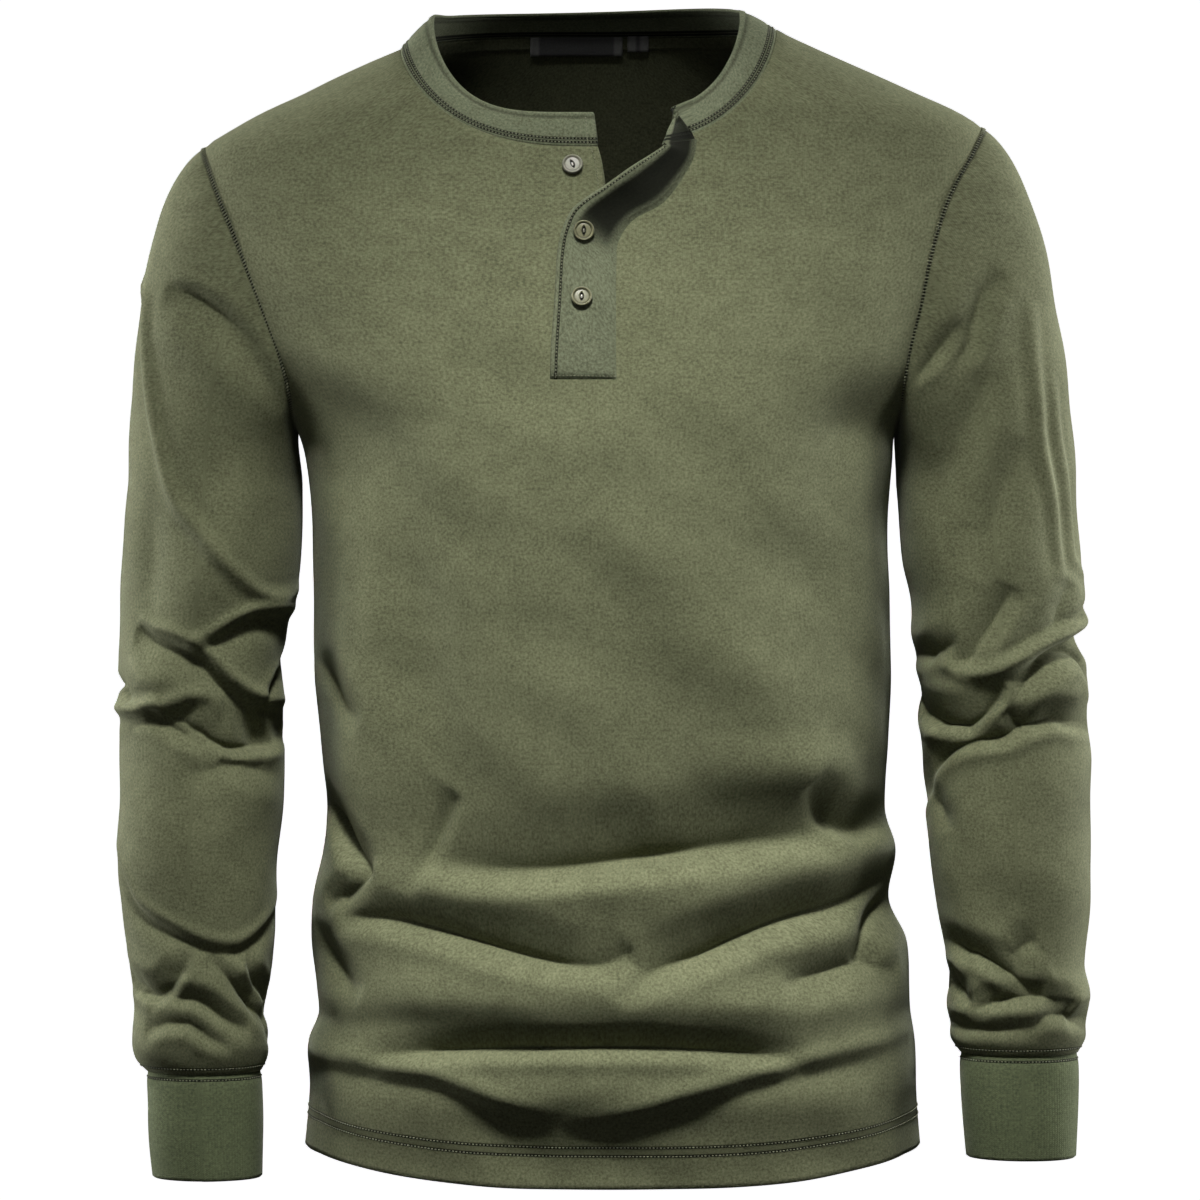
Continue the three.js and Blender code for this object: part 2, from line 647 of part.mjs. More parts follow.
// The neckband: sewn edge on the neckline, top edge a smaller and higher ring
function bandTopPoint(x, face) {
  const out = THREE.MathUtils.clamp((x - bandTop.x) / bandTop.halfWidth, -1, 1);
  const round = (1 - Math.abs(out) ** bandTop.roundness) ** (1 / bandTop.roundness);
  const side = out < 0 ? bandTop.minusSide : bandTop.plusSide;
  if (face === 'front') {
    const z = mix(bandTop.front, side, 1 - (1 - out ** 4) ** neckEase);
    return new THREE.Vector3(x, bandTop.y - bandTop.halfDepth * round, z);
  }
  const rise = bandTop.back + bandTop.backTilt * out - side;
  const z = side + rise * (1 - out ** 4) ** bandTop.backEase;
  return new THREE.Vector3(x, bandTop.y + bandTop.halfDepth * round, z);
}

function bandTopX(seamX) {
  const slotEnd = slotEdges[0].over;
  const out = (seamX - neckSeam.centre) / neckSeam.reach;
  if (seamX < slotEnd) return bandTop.x + bandTop.halfWidth * Math.max(out, -1);
  const far = bandTop.x + bandTop.halfWidth;
  return mix(bandEndX, far, Math.min(1, (seamX - slotEnd) / (neckSeam.centre + neckSeam.reach - slotEnd)));
}

// The neckline from the button side of the placket, round the back, to the buttonhole side
function necklineSeam(front, back) {
  const pointsOf = (piece, row) => row.map((index) => piece.cloth.vertices[index].point).reverse();
  const underTop = pointsOf(front, front.top.under);
  const overTop = pointsOf(front, front.top.over);
  const backTop = pointsOf(back, back.top);
  const onFront = (point) => ({ low: point, high: bandTopPoint(bandTopX(point.x), 'front') });
  const onBack = (point, index) => {
    const share = (point.x - neckSeam.centre) / neckSeam.reach;
    const x = point.x > bandTop.x ? bandTop.x + share * bandTop.halfWidth : bandTopX(point.x);
    const high = bandTopPoint(x, 'back');
    if (index === 0 || index === backTop.length - 1) high.y = bandTop.y;
    return { low: new THREE.Vector3(point.x, index === 0 ? 0 : point.y, point.z), high };
  };
  const fromUnder = underTop.map(onFront).slice(0, -1);
  const roundBack = backTop.map(onBack).slice(0, -1);
  return [...fromUnder, ...roundBack, ...overTop.map(onFront)];
}

function makeBand(front, back) {
  const seam = necklineSeam(front, back);
  const lastHigh = seam[seam.length - 1].high.clone();
  for (let step = 1; step <= bandFlap.steps; step += 1) {
    const t = step / bandFlap.steps;
    const low = stripPoint(t, 1);
    const x = mix(lastHigh.x, bandFlap.topX, t);
    const z = mix(lastHigh.z, bandFlap.topZ, t);
    seam.push({ low, high: new THREE.Vector3(x, lastHigh.y - bandFlap.lift * t ** stripCurl, z) });
  }
  const cloth = new Cloth(doubledCloth);
  const points = bandLevels.map((level) => seam.map(({ low, high }) => {
    const away = high.clone().sub(low).normalize();
    const start = low.clone().addScaledVector(away, bandLean);
    return start.lerp(high, level);
  }));
  const rows = points.map((line, level) => line.map((point, index) => {
    const before = line[Math.max(index - 1, 0)];
    const after = line[Math.min(index + 1, line.length - 1)];
    const up = points[bandLevels.length - 1][index].clone().sub(points[0][index]);
    const normal = after.clone().sub(before).cross(up).normalize().negate();
    return cloth.add({ point: point.clone().addScaledVector(normal, bandBulges[level]), normal });
  }));
  cloth.net(rows.reverse());
  return cloth;
}

// Narrow pieces sewn inside the back neck, each laid on the one behind it
function makeInsidePiece(piece, inset) {
  const cloth = new Cloth(ribbonCloth);
  const left = edgePoint(neckPointHeight, -1);
  const right = edgePoint(neckPointHeight, 1);
  const rows = [0, 1].map((level) => {
    const line = [];
    for (let step = piece.steps; step >= 0; step -= 1) {
      const x = mix(piece.fromX, piece.toX, step / piece.steps);
      const top = rowHeight(neckPointHeight, 'back', left, right, x) - piece.below;
      const vertex = bodyVertex(x, top - piece.height * (1 - level), 'back', false);
      vertex.point.addScaledVector(vertex.normal, -inset);
      line.push(cloth.add(vertex));
    }
    return line;
  });
  cloth.net(rows);
  return cloth;
}

// Two-hole shirt button with a raised rim, bored by two thread holes
function toSolid(geometry) {
  geometry.deleteAttribute('normal');
  geometry.deleteAttribute('uv');
  const merged = mergeVertices(geometry, weldDistance);
  const vertProperties = new Float32Array(merged.attributes.position.array);
  const triVerts = new Uint32Array(merged.index.array);
  return new wasm.Manifold(new wasm.Mesh({ numProp: 3, vertProperties, triVerts }));
}

function makeButtonGeometry() {
  const { radius, thickness, rim, dish } = button;
  const profile = [
    new THREE.Vector2(0, 0),
    new THREE.Vector2(radius * button.backShare, 0),
    new THREE.Vector2(radius, thickness * button.widestShare),
    new THREE.Vector2(radius - rim / 2, thickness),
    new THREE.Vector2(radius - rim * button.rimSlope, thickness - dish),
    new THREE.Vector2(0, thickness - dish),
  ];
  let solid = toSolid(new THREE.LatheGeometry(profile, button.sides));
  for (const side of [-1, 1]) {
    const bore = new THREE.CylinderGeometry(button.hole, button.hole, thickness * 3, button.holeSides);
    bore.translate(0, 0, (side * button.holeSpacing) / 2);
    solid = solid.subtract(toSolid(bore));
  }
  const { vertProperties, triVerts } = solid.getMesh();
  const geometry = new THREE.BufferGeometry();
  geometry.setAttribute('position', new THREE.Float32BufferAttribute(vertProperties, 3));
  geometry.setIndex([...triVerts]);
  return geometry;
}

function placeButton(mesh, place) {
  let best = { far: Infinity };
  for (let travel = stripSearch.fromTravel; travel < stripSearch.toTravel; travel += stripSearch.travel) {
    for (let across = stripSearch.fromAcross; across < stripSearch.toAcross; across += stripSearch.across) {
      const point = stripPoint(across, travel);
      const far = Math.hypot(point.x - place.x, point.z - place.z);
      if (far < best.far) best = { across, travel, far };
    }
  }
  const onPanel = bodyVertex(place.x, place.z, 'front', false);
  const seat = place.onStrip ? stripVertex(best.across, best.travel) : onPanel;
  mesh.position.copy(seat.point).addScaledVector(seat.normal, button.sink);
  mesh.quaternion.setFromUnitVectors(new THREE.Vector3(0, 1, 0), seat.normal);
  mesh.rotateY(place.turn * degree);
}

const shirt = new THREE.Group();

function addPiece(name, geometry, colour, roughness) {
  const material = new THREE.MeshStandardMaterial({ color: colour, roughness, metalness: 0 });
  const mesh = new THREE.Mesh(geometry, material);
  mesh.name = name;
  shirt.add(mesh);
  return mesh;
}

const front = makeFront();
const back = makeBack();
addPiece('front', front.cloth.geometry(), olive, clothRoughness);
addPiece('back', back.cloth.geometry(), olive, clothRoughness);
addPiece('sleeve_left', makeSleeve(1).geometry(), olive, clothRoughness);
addPiece('sleeve_right', makeSleeve(-1).geometry(), olive, clothRoughness);
addPiece('cuff_left', makeCuff(1).geometry(), darkOlive, ribbedRoughness);
addPiece('cuff_right', makeCuff(-1).geometry(), darkOlive, ribbedRoughness);
addPiece('neckband', makeBand(front, back).geometry(), olive, clothRoughness);
addPiece('placket_over', makeStrip().geometry(), olive, clothRoughness);
addPiece('neck_tape', makeInsidePiece(neckTape, jersey + laidOnGap).geometry(), darkOlive, clothRoughness);
const labelInset = jersey + ribbonCloth + laidOnGap + seamGap;
addPiece('neck_label', makeInsidePiece(neckLabel, labelInset).geometry(), ribbonBlack, ribbonRoughness);
addPiece('size_tab', makeInsidePiece(sizeTab, labelInset).geometry(), ribbonBlack, ribbonRoughness);
for (const place of buttons) {
  placeButton(addPiece(place.name, makeButtonGeometry(), hornGrey, hornRoughness), place);
}

export default shirt;
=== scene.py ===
import math

import bpy
import numpy as np
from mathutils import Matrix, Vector


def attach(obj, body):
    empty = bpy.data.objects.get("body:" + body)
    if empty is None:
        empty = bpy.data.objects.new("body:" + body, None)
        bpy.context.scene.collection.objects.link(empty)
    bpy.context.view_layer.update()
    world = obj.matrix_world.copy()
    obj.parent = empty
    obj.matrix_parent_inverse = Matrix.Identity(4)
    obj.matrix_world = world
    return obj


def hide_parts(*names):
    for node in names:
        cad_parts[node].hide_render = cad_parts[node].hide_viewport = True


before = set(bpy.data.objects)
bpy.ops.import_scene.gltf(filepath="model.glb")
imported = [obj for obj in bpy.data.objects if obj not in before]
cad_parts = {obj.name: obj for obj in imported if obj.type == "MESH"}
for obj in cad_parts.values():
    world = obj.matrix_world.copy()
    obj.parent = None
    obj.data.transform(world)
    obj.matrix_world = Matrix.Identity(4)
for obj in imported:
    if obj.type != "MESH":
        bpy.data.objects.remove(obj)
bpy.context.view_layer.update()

# Front panel. Cut in one piece of cotton jersey with a slot for the placket at the neck,
# sewn to the back at the shoulders and down both sides. All its sizes are in millimetres,
# and are turned into metres when a mesh is made. The wearer's left is plus, the right minus.
JERSEY_WALL, HEM_WALL, SEAM_GAP, ROUNDNESS = 1.2, 2.1, 0.3, 2.4
HEM, ARMPIT, TIP, NECK_POINT = -672, -242, -61, -1
SHOULDER_DROP, HEM_DIP, HEM_DIP_TOP = 12, 15, -540
NECK_FRONT, NECK_BACK, NECK_FALLS_FROM = -79.4, 6, -300
NECK_SQUARE_RIGHT, NECK_SQUARE_LEFT, NECK_EASE = 2.6, 3, 0.62
SLOT_FOOT = -215
CAMERA_AWAY, CAMERA_HEIGHT, PICTURE_WIDE, UNIT = 2400, -345, 1200, 0.605
FORWARD = {"front": -1, "back": 1}


def table(columns, *rows):
    """A short table: its column names and a row for each station."""
    return dict(zip(columns.split(), np.array(rows, float).T))


def read(rows, key, column, at):
    """A smooth curve through one column of a table, read along another column."""
    order = np.argsort(rows[key])
    keys, values = rows[key][order], rows[column][order]
    at = np.asarray(at, float)
    last = len(keys) - 1
    before, after = np.maximum(np.arange(last + 1) - 1, 0), np.minimum(np.arange(last + 1) + 1, last)
    slopes = (values[after] - values[before]) / (keys[after] - keys[before])
    low = np.clip(np.searchsorted(keys, at) - 1, 0, last - 1)
    span = keys[low + 1] - keys[low]
    t = np.clip((at - keys[low]) / span, 0, 1)
    ease = t * t * (3 - 2 * t)
    return (values[low] * (1 - ease) + values[low + 1] * ease + t * (1 - t) ** 2 * span * slopes[low]
            + t * t * (t - 1) * span * slopes[low + 1])


BODY = table(
    "z minus plus front back",
    (12, 95, 92, 46, 71), (-1, 107, 106.5, 50, 77), (-12, 118.6, 129, 53, 82), (-20, 137, 147, 56, 85),
    (-31, 161, 172, 60, 89), (-41, 181, 194, 64, 92), (-51, 203, 216, 68, 95), (-61, 221, 231, 70.5, 98),
    (-73, 239, 237, 73.5, 101), (-90, 245, 238, 79, 105), (-110, 246, 236, 86, 109),
    (-135, 240, 229, 95, 113), (-160, 230, 220, 103, 115), (-185, 217, 209, 110, 115),
    (-210, 203, 197.5, 116, 115), (-242, 183, 178.5, 122, 113), (-262, 177, 176, 124, 112),
    (-300, 173.5, 173.5, 125, 108), (-390, 172, 175.5, 120, 101), (-430, 168, 174, 117, 99),
    (-470, 164.5, 172, 114, 99), (-495, 167, 178, 113, 101), (-525, 173, 174, 113, 103),
    (-550, 174, 185, 113, 105), (-590, 169, 187, 113, 108), (-611, 176, 190, 114, 109),
    (-640, 175.5, 191, 115, 109), (-690, 180, 195, 116, 109))
ARMHOLE = table(
    "down minus plus",
    (0, 239, 231), (0.1, 232, 221.5), (0.2, 225.5, 211), (0.3, 218.5, 203), (0.45, 208.5, 195),
    (0.6, 199, 189.5), (0.75, 190, 183), (0.88, 185, 179.6), (1, 183, 178.5))
SLOT = table(
    "z under over",
    (-79, -1.8, 55), (-88, 0.5, 50), (-100, 2.3, 43), (-113, 3, 33), (-125, 3.6, 14), (-137, 4, 6.4),
    (-160, 4.2, 6), (SLOT_FOOT, 4.4, 6.2))


def fold(depth, above, below, roll, lip, *line, **more):
    """A crease: the depth of its valley, how far its slope reaches on the left of its line's
    direction, which is the side it hangs from, and on the other side, and the rolls on both."""
    return dict(depth=depth, above=above, below=below, roll=roll, lip=lip, line=line, **more)


# Lines seen from the front run across and down in picture units, 0.605 mm each at the side seams.
# A depth below 0 is a ridge. Foot is how rounded the bottom of the valley is.
FRONT_CREASES = [
    fold(20, 19, 8, 1, 5, (416, 862), (470, 868), (530, 868), (590, 862), (650, 854), (710, 847),
         (770, 840), (842, 832), foot=5),
    fold(15, 12, 7, 2, 4, (340, 914), (385, 917), (433, 928), (482, 942), (525, 954), (568, 963),
         (604, 964), (632, 950), foot=2, fade=0.4),
    fold(15, 12, 7, 2, 4, (616, 1000), (640, 980), (662, 968), (702, 954), (751, 932), (800, 914),
         (850, 898), (892, 874), foot=2),
    fold(5, 10, 7, 1, 1, (312, 655), (333, 680), (350, 705), (370, 722)),
    fold(8, 15, 6, 1, 2, (405, 892), (418, 860), (432, 828), (452, 792), foot=2),
    fold(13, 8, 6, 2, 3, (326, 797), (345, 822), (356, 845), (374, 872)),
    fold(8, 6, 6, 1, 2, (330, 903), (350, 889), (378, 868)),
    fold(11, 12, 5, 2, 1.5, (804, 784), (819, 800), (838, 822), (858, 831), (893, 822), foot=2,
         droop=0.15),
    fold(10, 7, 9, 1, 2, (889, 898), (878, 925), (864, 962)),
    fold(8, 8, 10, 2, 2, (783, 985), (830, 970), (862, 962), (898, 972)),
    fold(6, 8, 9, 1, 1, (316, 928), (328, 952), (347, 980), (366, 996), foot=2),
    fold(13, 6, 5, 2, 4, (362, 1059), (400, 1052), (440, 1049), (494, 1047), (568, 1046),
         (647, 1046), (727, 1050), (770, 1054), (806, 1060), foot=2),
    fold(3.8, 6, 11, 4, 0, (296, 1068), (341, 1075), (384, 1082), (433, 1092), (464, 1104),
         (500, 1120), (550, 1134), foot=3, droop=0.1, fade=0.6),
    fold(3.9, 6, 11, 4, 0, (560, 1142), (610, 1136), (650, 1126), (690, 1112), (740, 1096),
         (790, 1082), (838, 1070), (892, 1054), (920, 1042), foot=3, droop=0.1, fade=0.7),
]
# Broad swellings and hollows: place in picture units, reach across and down, turn, and height
FRONT_SWELLS = table(
    "across down wide tall turn height",
    (345, 440, 30, 38, 20, -6), (850, 430, 24, 36, -15, -5), (418, 630, 22, 100, 8, -6),
    (362, 690, 24, 90, -8, 5), (560, 560, 60, 120, 0, 4), (650, 690, 26, 110, 28, -6),
    (750, 690, 40, 90, 30, 5), (825, 560, 26, 46, 10, -3), (370, 800, 38, 60, -20, 6),
    (800, 772, 44, 18, 0, 6), (600, 890, 200, 16, 0, 4), (480, 990, 110, 16, 4, 5),
    (720, 1005, 80, 18, -8, 4), (590, 330, 150, 70, 0, 3), (600, 1100, 150, 14, 0, 4),
    (600, 1195, 165, 48, 0, -22), (590, 1008, 160, 10, 0, 3))
BACK_CREASES = [
    fold(10, 22, 10, 3, 4, (-120, -452), (-60, -462), (0, -470), (70, -474), (132, -466)),
    fold(9, 16, 9, 2, 4, (-150, -512), (-90, -522), (-20, -530), (60, -526)),
    fold(8, 14, 9, 2, 4, (-30, -572), (40, -570), (100, -560), (160, -540)),
    fold(9, 18, 9, 3, 4, (-150, -596), (-80, -608), (0, -614), (100, -612)),
    fold(5, 14, 9, 2, 2, (-158, -250), (-120, -290), (-96, -340)),
    fold(5, 9, 14, 2, 2, (158, -250), (128, -300), (104, -352)),
    fold(3, 16, 10, 1, 2, (-40, -420), (30, -428), (90, -424)),
]
BACK_SWELLS = table(
    "across down wide tall turn height",
    (0, -300, 60, 90, 0, -4), (-70, -170, 60, 60, 0, 3), (70, -170, 60, 60, 0, 3), (20, -500, 90, 30, 0, 4))

# The course of a crease: a steep and a slow part, the rolls beyond it and the drooping cloth
CREASE_FOOT, CREASE_FADE, CREASE_REACH, CREASE_MARGIN = 1.0, 0.6, 3.2, 4
STEEP_SHARE, STEEP_WIDE, STEEP_POWER, SLOW_SHARE, SLOW_WIDE = 0.55, 0.75, 1.2, 0.45, 1.7
ROLL_AT, LIP_WIDE, DROOP, DROOP_AT, DROOP_WIDE = 1.7, 1.1, 0.38, 0.55, 0.6
WAVES, WAVE_SHORT, WAVE_LONG, WAVE_SHARE = 7, 38, 110, 3
FOLDS_END, FOLDS_FADE, HEM_FADE, SIDE_FADE = -170, 110, 30, 3.5
MIDDLE_HALF_WIDTH, MIDDLE_DEPTH, COLUMN_EASE = 175, 113, 0.95


def run_along(points):
    """Distance of each point from the first along a line."""
    return np.concatenate([[0], np.cumsum(np.linalg.norm(np.diff(points, axis=0), axis=1))])


TURNS = np.linspace(0, math.pi / 2, 181)
GIRTH = run_along(np.stack([MIDDLE_HALF_WIDTH * np.sin(TURNS) ** (2 / ROUNDNESS),
                            MIDDLE_DEPTH * np.maximum(np.cos(TURNS), 0) ** (2 / ROUNDNESS)], axis=1))


def smoothstep(value, low, high):
    t = np.clip((value - low) / (high - low), 0, 1)
    return t * t * (3 - 2 * t)


def unit(rows):
    """Directions of length 1."""
    return rows / np.maximum(np.linalg.norm(rows, axis=-1, keepdims=True), 1e-12)


def around(turn):
    """Distance round the body from its middle to a turn."""
    return np.sign(turn) * np.interp(np.abs(turn), TURNS, GIRTH)


def side_read(rows, key, at, x):
    return np.where(np.asarray(x) < 0, read(rows, key, "minus", at), read(rows, key, "plus", at))


def turn_at(x, z):
    ratio = np.minimum(1, np.abs(x) / side_read(BODY, "z", z, x))
    return np.sign(x) * np.arcsin(ratio ** (ROUNDNESS / 2))


def smooth_line(points, count):
    """Evenly spaced points on a smooth curve through a few points."""
    points = np.array(points, float)
    lengths = run_along(points)
    rows = {"at": lengths, "a": points[:, 0], "b": points[:, 1]}
    at = np.linspace(0, lengths[-1], count)
    return np.stack([read(rows, "at", "a", at), read(rows, "at", "b", at)], axis=1)


def from_front(across, down, depth):
    """Place on the cloth, in millimetres, of a picture unit at a depth in front of the side seams."""
    scale = UNIT * (CAMERA_AWAY - depth) / CAMERA_AWAY
    half = PICTURE_WIDE / 2
    return (np.asarray(across) - half) * scale, CAMERA_HEIGHT + (half - np.asarray(down)) * scale


def crease_moves(at_a, at_b, line, crease, scale=1):
    """A valley with a sharp foot, a slope on each side and a soft roll beyond each slope, and how
    far the cloth of the upper side droops over it, both ways along the cloth."""
    depth, above, below = crease["depth"], crease["above"], crease["below"]
    height, slide_a, slide_b = (np.zeros(at_a.shape) for _ in range(3))
    reach = CREASE_REACH * max(above, below) + CREASE_MARGIN
    box = ((at_a > line[:, 0].min() - reach) & (at_a < line[:, 0].max() + reach)
           & (at_b > line[:, 1].min() - reach) & (at_b < line[:, 1].max() + reach))
    a, b = at_a[box], at_b[box]
    best = np.full(a.shape, 1e9)
    signed, place, lean_a, lean_b = (np.zeros(a.shape) for _ in range(4))
    for step in range(len(line) - 1):
        start, way = line[step], line[step + 1] - line[step]
        length = np.hypot(*way)
        da, db = a - start[0], b - start[1]
        t = np.clip((da * way[0] + db * way[1]) / length ** 2, 0, 1)
        far = np.hypot(da - t * way[0], db - t * way[1])
        closer = far < best
        best = np.where(closer, far, best)
        signed = np.where(closer, way[0] * db - way[1] * da, signed)
        place = np.where(closer, (step + t) / (len(line) - 1), place)
        lean_a = np.where(closer, way[1] / length, lean_a)
        lean_b = np.where(closer, -way[0] / length, lean_b)
    signed = np.where(signed < 0, -best, best)
    fade = np.sin(math.pi * np.clip(place, 0, 1)) ** crease.get("fade", CREASE_FADE)
    slope = np.where(signed > 0, above, below)
    foot = crease.get("foot", CREASE_FOOT)
    soft = np.sqrt(best ** 2 + foot ** 2) - foot
    rise = -depth * (STEEP_SHARE * np.exp(-(soft / (STEEP_WIDE * slope)) ** STEEP_POWER)
                     + SLOW_SHARE * np.exp(-(soft / (SLOW_WIDE * slope)) ** 2))
    rise += crease["roll"] * np.exp(-((signed - ROLL_AT * above) / above) ** 2)
    rise += crease["lip"] * np.exp(-((signed + ROLL_AT * below) / (LIP_WIDE * below)) ** 2)
    hang = np.exp(-((signed / above - DROOP_AT) / DROOP_WIDE) ** 2)
    droop = crease.get("droop", DROOP) * depth * hang * fade
    height[box], slide_a[box], slide_b[box] = rise * fade, lean_a * droop, lean_b * droop
    return scale * np.stack([height, slide_a, slide_b])


def swell_height(at_a, at_b, places, swells):
    result = np.zeros(at_a.shape)
    for index, (a, b) in enumerate(places):
        angle = math.radians(swells["turn"][index])
        da, db = at_a - a, at_b - b
        p = (da * math.cos(angle) + db * math.sin(angle)) / swells["wide"][index]
        q = (db * math.cos(angle) - da * math.sin(angle)) / swells["tall"][index]
        result += swells["height"][index] * np.exp(-(p * p + q * q))
    return result


def unevenness(a, b, seed, height):
    """A few slow waves in chosen directions, so that no part of the cloth is quite even."""
    draws = np.random.default_rng(seed)
    result = np.zeros(a.shape)
    for _ in range(WAVES):
        length = draws.uniform(WAVE_SHORT, WAVE_LONG)
        angle = draws.uniform(0, math.pi)
        phase = draws.uniform(0, 2 * math.pi)
        result += np.sin((a * math.cos(angle) + b * math.sin(angle)) * 2 * math.pi / length + phase)
    return height * result / WAVE_SHARE


def seen_turn(across, down):
    """Turn and height on the front panel of a place seen from the front."""
    depth = np.full(np.shape(across), 100.0)
    for _ in range(4):
        x, z = from_front(across, down, depth)
        turn = turn_at(x, z)
        depth = read(BODY, "z", "front", z) * np.maximum(np.cos(turn), 0.05) ** (2 / ROUNDNESS)
    return turn, z


def front_line(points):
    line = smooth_line(points, 36)
    turn, z = seen_turn(line[:, 0], line[:, 1])
    return np.stack([around(turn), z], axis=1)


SWELL_TURN, SWELL_Z = seen_turn(FRONT_SWELLS["across"], FRONT_SWELLS["down"])
# For each panel: the seed of its slow waves, its creases and their lines, its swellings and their places
PANELS = {
    "front": (3, FRONT_CREASES, [front_line(crease["line"]) for crease in FRONT_CREASES],
              FRONT_SWELLS, np.stack([around(SWELL_TURN), SWELL_Z], axis=1)),
    "back": (4, BACK_CREASES, [smooth_line(crease["line"], 30) for crease in BACK_CREASES],
             BACK_SWELLS, np.stack([BACK_SWELLS["across"], BACK_SWELLS["down"]], axis=1)),
}


def panel_moves(turn, z, face):
    """How far the cloth of a panel stands out, and how far it slides round and up."""
    seed, creases, lines, swells, places = PANELS[face]
    a = around(turn)
    moves = np.zeros((3,) + a.shape)
    moves[0] = unevenness(a, z, seed, 0.9)
    for line, crease in zip(lines, creases):
        moves += crease_moves(a, z, line, crease)
    moves[0] += swell_height(a, z, places, swells)
    top_fade = 1 - np.clip((z - FOLDS_END) / FOLDS_FADE, 0, 1)
    moves = moves * np.minimum(1, np.abs(np.cos(turn)) * SIDE_FADE) * top_fade
    moves[1:] *= smoothstep(z, HEM, HEM + HEM_FADE)
    return moves


def body_point(turn, z, face):
    turn, z = np.broadcast_arrays(np.atleast_2d(turn), np.atleast_2d(z))
    half_width = side_read(BODY, "z", z, turn)
    depth = read(BODY, "z", face, z)
    sine, cosine = np.sin(turn), np.maximum(np.cos(turn), 0)
    relief, slide_a, slide_z = panel_moves(turn, z, face)
    x = half_width * np.sign(sine) * np.abs(sine) ** (2 / ROUNDNESS) + relief * sine + slide_a * cosine
    y = FORWARD[face] * (depth * cosine ** (2 / ROUNDNESS) + relief * cosine - slide_a * sine)
    return np.squeeze(np.stack([x, y, z + slide_z], axis=-1))


def edge_place(height, side):
    """Across and height of the side edge of a panel, at a height named on the wearer's left edge."""
    drop = SHOULDER_DROP * smoothstep(height, ARMPIT, TIP) if side < 0 else 0
    z = height - drop
    name = "minus" if side < 0 else "plus"
    down = (TIP - height) / (TIP - ARMPIT)
    in_armhole = (down > 0) & (down < 1)
    x = np.where(in_armhole, read(ARMHOLE, "down", name, down), read(BODY, "z", name, z))
    return side * x, z, ~in_armhole


def row_height(height, face, left, right, x):
    """Height of a row at a place across: level with its edges, falling to its middle."""
    centre, half = (left[0] + right[0]) / 2, (right[0] - left[0]) / 2
    out = np.clip((x - centre) / half, -1, 1)
    rise = np.clip((height - NECK_FALLS_FROM) / (NECK_POINT - NECK_FALLS_FROM), 0, 1)
    hem_fall = HEM_DIP * smoothstep(-height, -HEM_DIP_TOP, -HEM)
    front_middle = NECK_FALLS_FROM + (NECK_FRONT - NECK_FALLS_FROM) * rise
    level = front_middle if face == "front" else height + (NECK_BACK - NECK_POINT) * rise
    middle = np.where(height < NECK_FALLS_FROM, height - hem_fall, level)
    square = np.where(out < 0, NECK_SQUARE_RIGHT, NECK_SQUARE_LEFT)
    edge = np.where(out < 0, left[1], right[1])
    ease = 1 + (NECK_EASE - 1) * rise
    share = 1 - (1 - np.abs(out) ** square) ** ease
    return middle * (1 - share) + edge * share


def half_panel(heights, face, side, middle_x, columns):
    """Net of one half of a panel, from its side edge in to the middle or the slot."""
    heights = heights[:, None]
    left, right = edge_place(heights, -1), edge_place(heights, 1)
    edge = left if side < 0 else right
    inward = np.sin((1 - np.arange(columns + 1) / columns) * math.pi / 2) ** COLUMN_EASE
    x = middle_x[:, None] + (edge[0] - middle_x[:, None]) * inward
    z = row_height(heights, face, left, right, x)
    points = body_point(turn_at(x, z), z, face)
    seam = np.broadcast_to(edge[2], x.shape)[:, 0]
    points[seam, 0, 1] = FORWARD[face] * SEAM_GAP / 2
    flat = np.stack([around(turn_at(x, z)), z], axis=-1)
    return points, flat


def numbered(grid):
    """Point numbers of a grid of values or of places."""
    shape = grid.shape[:2]
    return np.arange(shape[0] * shape[1]).reshape(shape)


def net(index):
    """Four-cornered faces between the rows of a grid of point numbers, facing out."""
    return np.stack([index[:-1, :-1], index[:-1, 1:], index[1:, 1:], index[1:, :-1]], axis=-1).reshape(-1, 4)


def point_normals(points, faces):
    corners = points[faces]
    cross = np.cross(corners[:, 2] - corners[:, 0], corners[:, 3] - corners[:, 1])
    normals = np.zeros_like(points)
    for corner in range(4):
        np.add.at(normals, faces[:, corner], cross)
    return unit(normals)


def in_scene(name, data):
    """An object that shows the data, linked to the scene."""
    holder = bpy.data.objects.new(name, data)
    bpy.context.scene.collection.objects.link(holder)
    return holder


def give_points(mesh, values):
    """One value for each point of a mesh under each name, and smooth shading."""
    for key, value in values.items():
        attribute = mesh.attributes.new(key, "FLOAT", "POINT")
        attribute.data.foreach_set("value", value.astype(np.float32))
    mesh.polygons.foreach_set("use_smooth", np.ones(len(mesh.polygons), bool))


